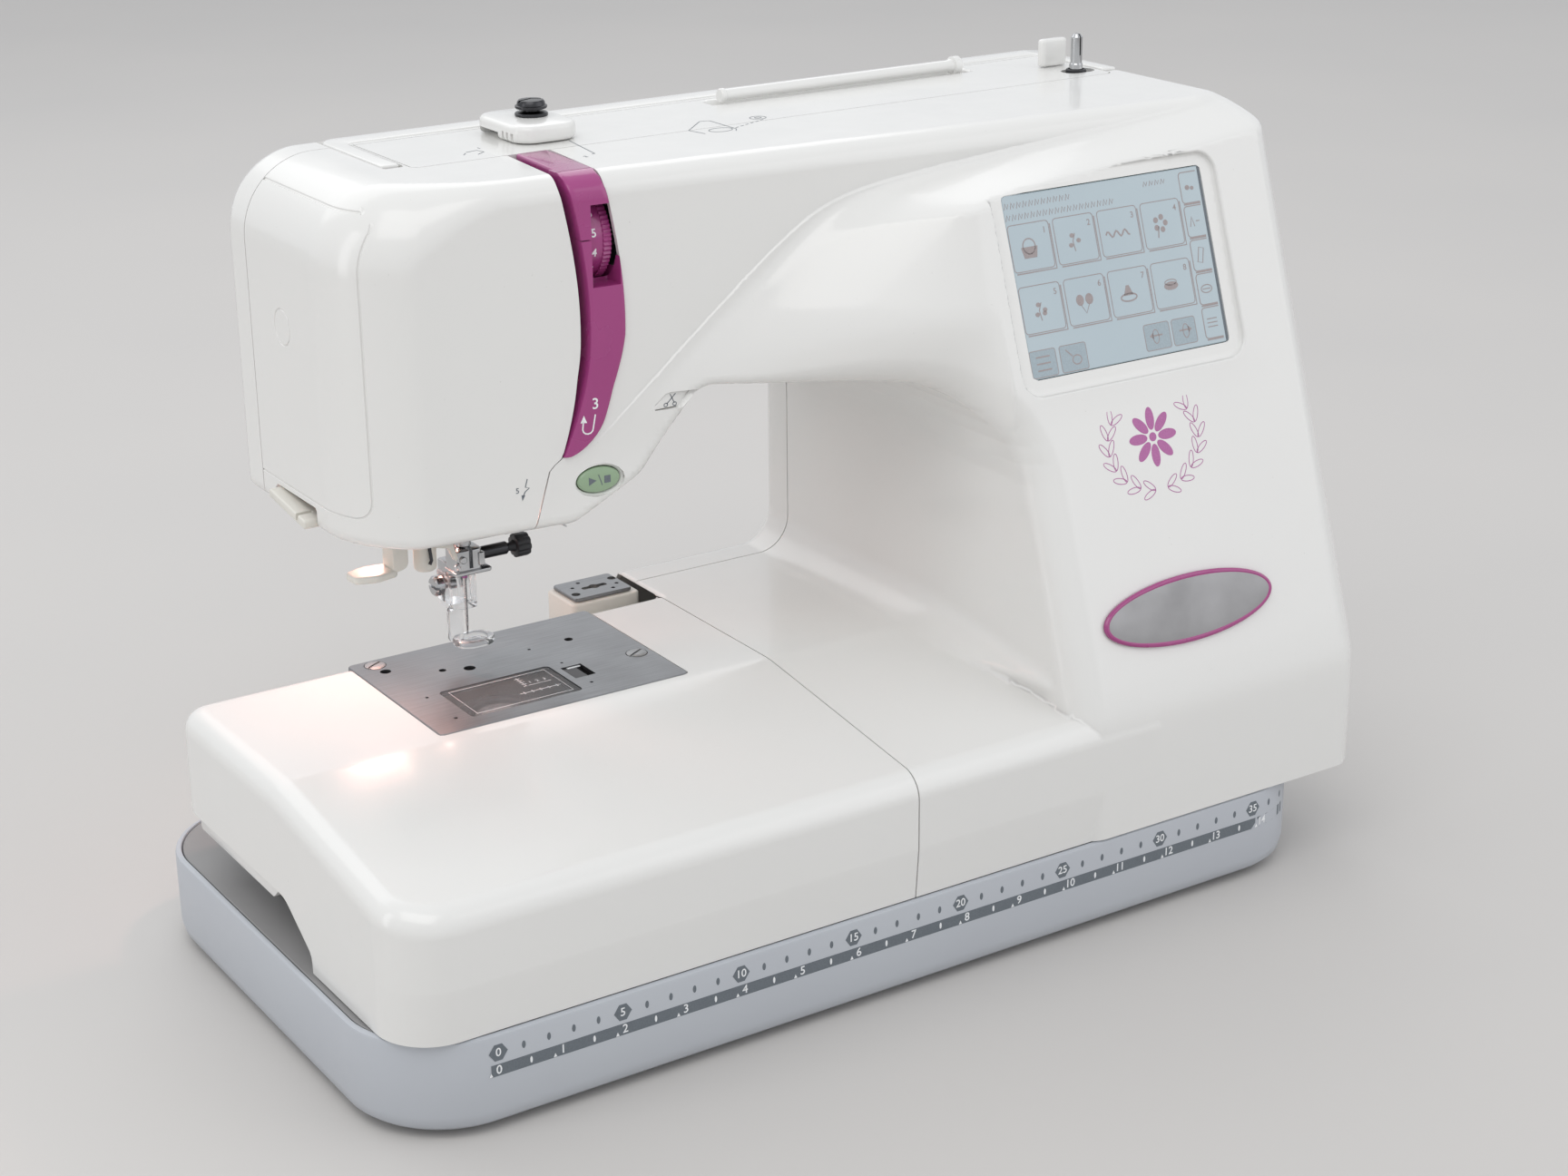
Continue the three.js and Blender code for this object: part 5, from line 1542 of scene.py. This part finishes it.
def draw_icon(lines, k, u, v):
    """A small plain picture for each tile: a basket, sprigs, a wave, hearts, a hat or a bowl."""
    if k == 0:
        lines.shape([(u - 3, v - 3.6), (u + 3, v - 3.6), (u + 4, v + 0.8), (u - 4, v + 0.8)])
        lines.ring((u, v + 1), (3, 3), 0.5, 20)
    elif k in (1, 4):
        lines.path([(u, v - 4), (u - 0.6, v), (u + 0.8, v + 3)], 0.4)
        for a in range(4 if k == 4 else 3):
            lines.disc((u + 2.2 * math.cos(a * 1.9), v + 2.4 * math.sin(a * 1.9)), (1.1, 0.9), 12)
    elif k == 2:
        lines.path([(u - 6 + 0.75 * i, v + 1.2 * math.sin(i * 1.1)) for i in range(17)], 0.7)
    elif k == 3:
        for a in range(5):
            lines.disc((u + 2.6 * math.cos(a * 1.26), v + 1 + 2.6 * math.sin(a * 1.26)), (1.2, 1.2), 12)
        lines.path([(u - 1, v), (u - 2, v - 4.6)], 0.5)
    elif k == 5:
        lines.disc((u - 2.3, v + 1), (1.9, 2.2), 16).disc((u + 2.3, v + 1), (1.9, 2.2), 16)
        lines.path([(u - 2, v - 1), (u, v - 4.4), (u + 2, v - 1)], 0.3)
    elif k == 6:
        lines.ring((u, v - 1.4), (4, 1.5), 0.6, 24)
        lines.shape([(u - 2.4, v - 0.6), (u + 2.4, v - 0.6), (u + 0.7, v + 3.4), (u - 0.7, v + 3.4)])
    else:
        lines.disc((u, v), (3.6, 1.7), 24).ring((u, v + 1.4), (3, 1.1), 0.4, 24)


def draw_tab(lines, k, u, v):
    if k == 0:
        lines.disc((u - 1, v), (1.2, 1), 12).disc((u + 1.4, v - 0.4), (0.9, 0.8), 12)
    elif k == 1:
        lines.path([(u - 2.6, v - 2), (u - 1.4, v + 2), (u - 0.4, v - 2)], 0.4)
        lines.path([(u + 0.6, v), (u + 2.4, v)], 0.4)
    elif k == 2:
        lines.path([(u - 2, v - 2.6), (u + 0.4, v - 3.2), (u + 2, v + 2.6), (u - 0.4, v + 3.2)], 0.4, True)
    elif k == 3:
        lines.ring((u, v), (2.8, 1.6), 0.4, 20).path([(u - 2, v), (u + 2, v)], 0.4)
    else:
        for j in range(3):
            lines.path([(u - 2.6, v + 1.6 - 1.6 * j), (u + 2.6, v + 1.6 - 1.6 * j)], 0.4)


def draw_key(lines, k, u, v):
    if k == 0:
        for j in (-2.6, 0, 2.6):
            lines.path([(u - 3.4, v + j), (u + 3.4, v + j)], 0.6)
    elif k == 1:
        lines.ring((u + 1.4, v - 1), (2.2, 1.8), 0.5, 20).path([(u - 3.6, v + 3.6), (u - 0.6, v + 0.6)], 0.5)
    else:
        side = -1 if k == 2 else 1
        lines.ring((u + side * 0.8, v), (1.5, 2.8), 0.4, 16)
        lines.path([(u - 2.6, v + 0.4), (u + 2.6, v + 0.4)], 0.6)
        lines.shape([(u + side * 4, v + 0.4), (u + side * 2, v + 1.8), (u + side * 2, v - 1.0)])


def build_badge():
    centre = (320.5 - LCD_AT[0], up_lean(121.0))
    turn = [2 * math.pi * i / 96 for i in range(96)]

    def ovals(steps):
        loops = []
        for inset, height in steps:
            edge = [oval_at(centre, (43.5 - inset, 13.5 - inset), a) for a in turn]
            loops.append([on_lean(u, v, height) for u, v in edge])
        return loops

    rim = rings("rim", ovals([(0, 0.3), (0, 1.3), (0.6, 1.8), (1.3, 1.9), (2.0, 1.6)]))
    fit(smooth(rim), "badge_rim", MAGENTA, stands_for=("oval_badge",))
    face = rings("face", ovals([(1.6, 1.2), (1.6, 1.62), (2.2, 1.72), (6, 1.9), (11, 2.0)]))
    fit(smooth(face, 60), "badge_face", BADGE_SILVER)


def petal(root, turn, reach, half, steps):
    """An oval that points away from its root at an angle, its middle a reach away."""
    points = []
    for i in range(steps):
        along, across = oval_at((reach, 0), half, 2 * math.pi * i / steps)
        x = root[0] + along * math.cos(turn) - across * math.sin(turn)
        y = root[1] + along * math.sin(turn) + across * math.cos(turn)
        points.append((x, y))
    return points


def build_rosette():
    """A plain eight-petalled rosette on two leafy sprays."""
    u, v = 318 - LCD_AT[0], up_lean(184)

    def put(across, up, out):
        return on_lean(u + across, v + up, out)

    solid = Print(put, 0.05)
    for k in range(8):
        solid.shape(petal((0, 3), math.pi / 4 * k, 7.4, (4.6, 2.1), 24))
    solid.disc((0, 3), 1.8, 24)
    solid.lay("rosette", INK_MAGENTA)
    leaves = Print(put, 0.05)
    for side in (-1, 1):
        for k in range(7):
            a = math.radians(-82 + 19 * k)
            at = (side * 23 * math.cos(a), 1 + 19 * math.sin(a))
            for lean in (-0.55, 0.55):
                leaf = petal((0, 0), math.pi / 2 + a + lean, 3.4, (3.4, 1.15), 16)
                leaves.path([(at[0] + side * x, at[1] + y) for x, y in leaf], 0.3, True)
    leaves.lay("rosette_leaves", INK_MAGENTA)


def build_marks():
    arrow = Print(lambda u, v, w: (u, float(head_front(u)) - 1.26 - w, v), 0.05)
    arrow.text("3", (107.8, 218.6), 6.0, 0.05)
    loop = [(107.6, 214.6), (106.6, 209.6)]
    loop += [oval_at((104.4, 209.4), (2.2, 2.0), -math.pi / 6 * k) for k in range(1, 7)]
    arrow.path(loop + [(102.6, 212.4)], 0.55)
    arrow.shape([(101.4, 212.0), (104.1, 211.8), (102.9, 214.8)])
    arrow.lay("guide_number", INK_WHITE)
    path = Print(lambda u, v, w: on_head(u, v, w + 0.02), 0.05)
    path.path([(79.5, 193.5), (78.6, 190.4), (80.2, 189.9), (78.4, 188.6), (77.6, 187.0)], 0.4)
    path.shape([(76.9, 187.5), (78.4, 187.3), (77.2, 185.2)])
    path.text("5", (75.4, 189.4), 3.0, 0.03)
    path.lay("head_marks", INK_GREY)
    top = Print(lambda u, v, w: on_top(u, v, w + 0.02), 0.05)
    top.path([(133.5, 168.5), (129.5, 141.5), (128.2, 141.2)], 0.4)
    top.path([(93, 166), (97, 169), (96, 173), (91, 172)], 0.35).path([(88, 168), (90, 170.6)], 0.35)
    top.text("1", (98.5, 176), 3.0).text("2", (124.0, 138.6), 3.0)
    top.path([(183, 149), (181, 158), (194, 171), (198, 170), (198, 150), (196, 147)], 0.35)
    top.ring((192, 152), (5, 3.6), 0.3)
    for k in range(6):
        top.path([(199 + 3.2 * k, 152 + 1.4 * k), (200.8 + 3.2 * k, 152.8 + 1.4 * k)], 0.35)
    top.ring((217, 164), (3.4, 3.0), 0.3).ring((217, 164), (1.4, 1.2), 0.3, 16)
    top.lay("top_marks", INK_GREY)


# ---------------------------------------------------------------- top fittings
def build_top_fittings():
    arms = [(53, 166, 1), (60.4, 166, 1), (60.4, 213, 4), (396, 213, 4), (396, 166, 1), (403.4, 166, 1)]
    handle = outline(arms + [(403.4, 224.6, 8), (53, 224.6, 8)])
    handle = bevel(prism("handle", handle, "z", 297, 305.5), 1.6, 4)
    fit(smooth(handle), "handle_bar", WHITE, "carry_handle", ("carry_handle",))
    trough = [(52.5, 163), (60.8, 163), (60.8, 212.6), (395.6, 212.6), (395.6, 163), (403.8, 163)]
    trough += [(403.8, 225), (52.5, 225)]
    trough = bevel(prism("trough", outline(trough), "z", 292.6, 294.4), 0.3)
    fit(smooth(trough), "handle_trough", WHITE)
    pin = [(0, 0), (2.6, 0.1), (3, 0.6), (3, 2), (2.5, 2.6), (2.5, 116)]
    pin += [(3, 117), (3, 118), (4, 118.4), (4, 121.4), (3.4, 122), (0, 122)]
    pin = lathe("pin", (222, 201, 307.6), (1, 0, 0), pin, 36)
    fit(smooth(pin), "spool_rod", WHITE, stands_for=("spool_pin",))
    x, y = WINDER_AT
    post = [(0, 300), (2.9, 300), (2.9, 308), (2.5, 308.6), (2.5, 319.6), (1.6, 321), (0, 321)]
    spindle = upright("post", WINDER_AT, post, 40)
    carve(spindle, block("slit", (x - 0.3, y - 4, 312), (x + 0.3, y + 4, 322)))
    fit(smooth(spindle), "winder_post", CHROME, "bobbin_winder_spindle", ("bobbin_winder_spindle",))
    arm = hollow("arm", WINDER_AT, [(3.4, 300.4), (4.4, 300.4), (4.4, 305.6), (4.0, 306), (3.4, 306)], 48)
    fit(smooth(arm), "winder_collar", BLACK, "bobbin_winder_arm", ("bobbin_winder_arm",))
    stop = soft_block("stop", (x - 8, 184, 305.3), (x + 6, 189, 317), 2.4, 1.2)
    fit(stop, "winder_stop", WHITE, stands_for=("bobbin_winder_stopper",))
    guide = soft_block("guide", (112, 168, 305.3), (140, 208, 312), 9, 1.8)
    gap = block("gap", (100, 186, 300), (118, 202, 308), 1)
    hole = drill((*PRETENSION_AT, 290), (0, 0, 1), 2.4, 40, 32)
    ribs = [block("rib", (111, 171 + 3.4 * k, 304), (113.4, 172.6 + 3.4 * k, 309), 0.2) for k in range(4)]
    carve(guide, gap, hole, *ribs)
    fit(smooth(guide), "pretension_base", WHITE, stands_for=("pretension_guide",))
    discs = [(0, 298), (2, 298), (2, 312), (6.4, 312), (6.5, 312.2), (6.5, 312.9), (6.1, 313.3), (3, 313.9)]
    discs += [(3, 314.3), (6.1, 314.9), (6.3, 315.2), (6.3, 315.9), (5.6, 316.2), (5.4, 317.4), (4.8, 318.1)]
    disc = upright("disc", PRETENSION_AT, discs + [(0, 318.6)], 64)
    carve(disc, block("slot", (122, 189.4, 317.4), (136, 190.6, 320)))
    fit(smooth(disc), "pretension_plates", DARK_STEEL, stands_for=("pretension_disc",))


# ---------------------------------------------------------------- embroidery arm, wheel and connections
def build_carriage():
    block_part = soft_block("block", (146, 203, 82), (179, 227, 99.2), 2.5, 1.0)
    tongue = soft_block("tongue", (154, 207, 76), (171, 227, 82.6), 1, 0.3)
    fit(gather(block_part, tongue), "arm_block", CREAM, "y_carriage", ("y_carriage",))
    plate = pan("plate", (148.6, 205.2, 176.2, 226), 1.6, [(0.2, 99.5), (0, 99.7), (0, 100.7), (0.3, 101)], 6)
    cuts = [soft_block("key", (157, 213.6, 96), (169, 216.4, 104), 1.2, 0.1)]
    holes = [(151.6, 210.5, 1.9), (174.2, 219.5, 1.9), (163, 215, 2.4)]
    holes += [(154, 218, 0.9), (159, 222, 0.9), (169, 209, 0.9), (173, 213, 0.9)]
    cuts += [drill((x, y, 96), (0, 0, 1), r, 10, 28) for x, y, r in holes]
    fit(smooth(carve(plate, *cuts)), "hoop_mount", PLATE_STEEL, "y_carriage", ("hoop_plate",))
    beam = block("beam", (146, 205.4, 58), (330, 222, 75.6), 1.5)
    bevel(beam, 0.8, 3)
    carve(beam, block("channel", (140, 209, 60), (326, 219, 90), 0.5))
    fit(smooth(beam), "arm_beam", CREAM, "x_carriage", ("x_carriage",))


def build_side():
    wheel = bevel(prism("wheel", toothed(WHEEL_AT, 72, 32.4, 31.6), "x", 416, 424), 0.2, 1)
    shape = [(0, 0), (29.6, 0), (31, 1.2), (31, 12.8), (29.8, 14.2)]
    shape += [(27.5, 14.4), (26, 13.2), (20, 12.6), (14, 13.6), (0, 13.8)]
    wheel = join(lathe("hub", (412.6, *WHEEL_AT), (1, 0, 0), shape, 96), wheel)
    bore = drill((400, *WHEEL_AT), (1, 0, 0), 4.3, 24.2, 32)
    fit(smooth(carve(wheel, bore)), "hand_wheel", WHITE, "drive", ("handwheel",))
    panel = block("panel", (402, 133, 60), (412.5, 199, 90), 1.5)
    bevel(panel, 0.6, 2)
    carve(panel, block("socket", (404, 172, 65), (420, 192, 85), 3))
    carve(panel, block("switch", (403, 137, 64), (420, 156, 84), 1))
    fit(smooth(panel), "inlet_panel", BLACK, stands_for=("power_inlet",))
    pins = [soft_block("pin", (403.8, y, 73.6), (409, y + 1.6, 76.4), 0.3, 0.2) for y in (176, 188)]
    fit(gather(*pins), "inlet_pins", STEEL)
    rocker = outline([(405, 65.5), (411, 64.9, 0.8), (412.2, 74, 14), (411.6, 83.1, 0.8), (405, 82.5)])
    rocker = bevel(prism("rocker", rocker, "y", 137.4, 155.6), 0.5, 3)
    fit(smooth(rocker), "power_rocker", BLACK, "power_switch", ("power_switch",))
    signs = Print(lambda u, v, w: (412.0 + w, u, v), 0.05)
    signs.ring((146.5, 69.6), (1.5, 1.5), 0.35, 24).path([(146.5, 77.4), (146.5, 80.6)], 0.4)
    signs.lay("switch_marks", INK_WHITE, "power_switch")


# ---------------------------------------------------------------- what keeps its CAD mesh
def dress_hidden():
    """Materials for the CAD meshes that are hidden in the machine and stay as they are."""
    looks = {
        "main_shaft": STEEL,
        "lower_shaft": STEEL,
        "motor": CASTING,
        "motor_pulley": STEEL,
        "drive_belt": RUBBER,
        "timing_belt": RUBBER,
        "machine_frame": CASTING,
        "circuit_board": BOARD,
        "x_rail_unit": STEEL,
    }
    for name, material in looks.items():
        mesh = frame["nodes"][name].data
        mesh.materials.clear()
        mesh.materials.append(material)


# ---------------------------------------------------------------- camera, light and floor
LENS, SENSOR = 63.25, 36.0
CAMERA_AT = (-373.30, -758.26, 517.67)
CAMERA_RIGHT = (0.83602, -0.54862, -0.00950)
CAMERA_AHEAD = (0.51047, 0.78400, -0.35322)


def build_camera():
    data = bpy.data.cameras.new("camera")
    data.lens, data.sensor_width = LENS, SENSOR
    camera = bpy.data.objects.new("camera", data)
    bpy.context.scene.collection.objects.link(camera)
    right, ahead = Vector(CAMERA_RIGHT), Vector(CAMERA_AHEAD)
    up = right.cross(ahead)
    turn = Matrix((right, up, -ahead)).transposed().to_4x4()
    camera.matrix_world = Matrix.Translation(Vector(place(CAMERA_AT))) @ turn
    bpy.context.scene.camera = camera


def area_light(name, at, towards, size, power, color=(1, 1, 1)):
    """A rectangle of light at one place, turned towards another. Its size is in metres."""
    data = bpy.data.lights.new(name, "AREA")
    data.shape = "RECTANGLE"
    data.size, data.size_y = size
    data.energy = power
    data.color = color
    light = bpy.data.objects.new(name, data)
    at, towards = Vector(place(at)), Vector(place(towards))
    light.location = at
    light.rotation_euler = (towards - at).to_track_quat("-Z", "Y").to_euler()
    bpy.context.scene.collection.objects.link(light)


def build_light():
    world = bpy.data.worlds.new("world")
    bpy.context.scene.world = world
    world.use_nodes = True
    background = world.node_tree.nodes["Background"]
    background.inputs["Color"].default_value = (0.95, 0.97, 1.0, 1)
    background.inputs["Strength"].default_value = 0.78
    middle = (190, 100, 120)
    area_light("key", (-500, -500, 1500), middle, (1.3, 1.0), 6.4, (1.0, 0.985, 0.96))
    area_light("fill", (1300, -900, 900), middle, (1.4, 1.4), 4.0, (0.98, 0.98, 1.0))
    area_light("back", (200, 1500, 1500), middle, (2.6, 1.2), 9.0)
    area_light("strip", (-1300, 300, 500), (0, 100, 200), (0.25, 1.4), 2.2)
    area_light("lamp", (53, 188, 174.6), (60, 150, 101), (0.016, 0.018), 0.085, (1.0, 0.50, 0.42))
    scene = bpy.context.scene
    scene.view_settings.view_transform = "Standard"


def build_floor():
    bpy.ops.mesh.primitive_plane_add(size=8, location=(0, 0, 0))
    floor = bpy.context.object
    floor.name = "floor"
    look = Look("floor_paper", (0.60, 0.58, 0.56), 0.6)
    look.tint(look.noise(3.0, 2.0), (0.57, 0.555, 0.54), most=0.6)
    look.bump(look.noise(400.0, 2.0), 0.05, 0.1)
    floor.data.materials.append(look.material)


build_covers()
build_base()
build_notch()
build_rulers()
build_plate()
build_bobbin()
build_needle()
build_presser()
build_threader()
build_head_fittings()
build_guide()
build_dial()
build_buttons()
build_take_up()
build_screen()
build_badge()
build_rosette()
build_marks()
build_top_fittings()
build_carriage()
build_side()
dress_hidden()
build_camera()
build_light()
build_floor()
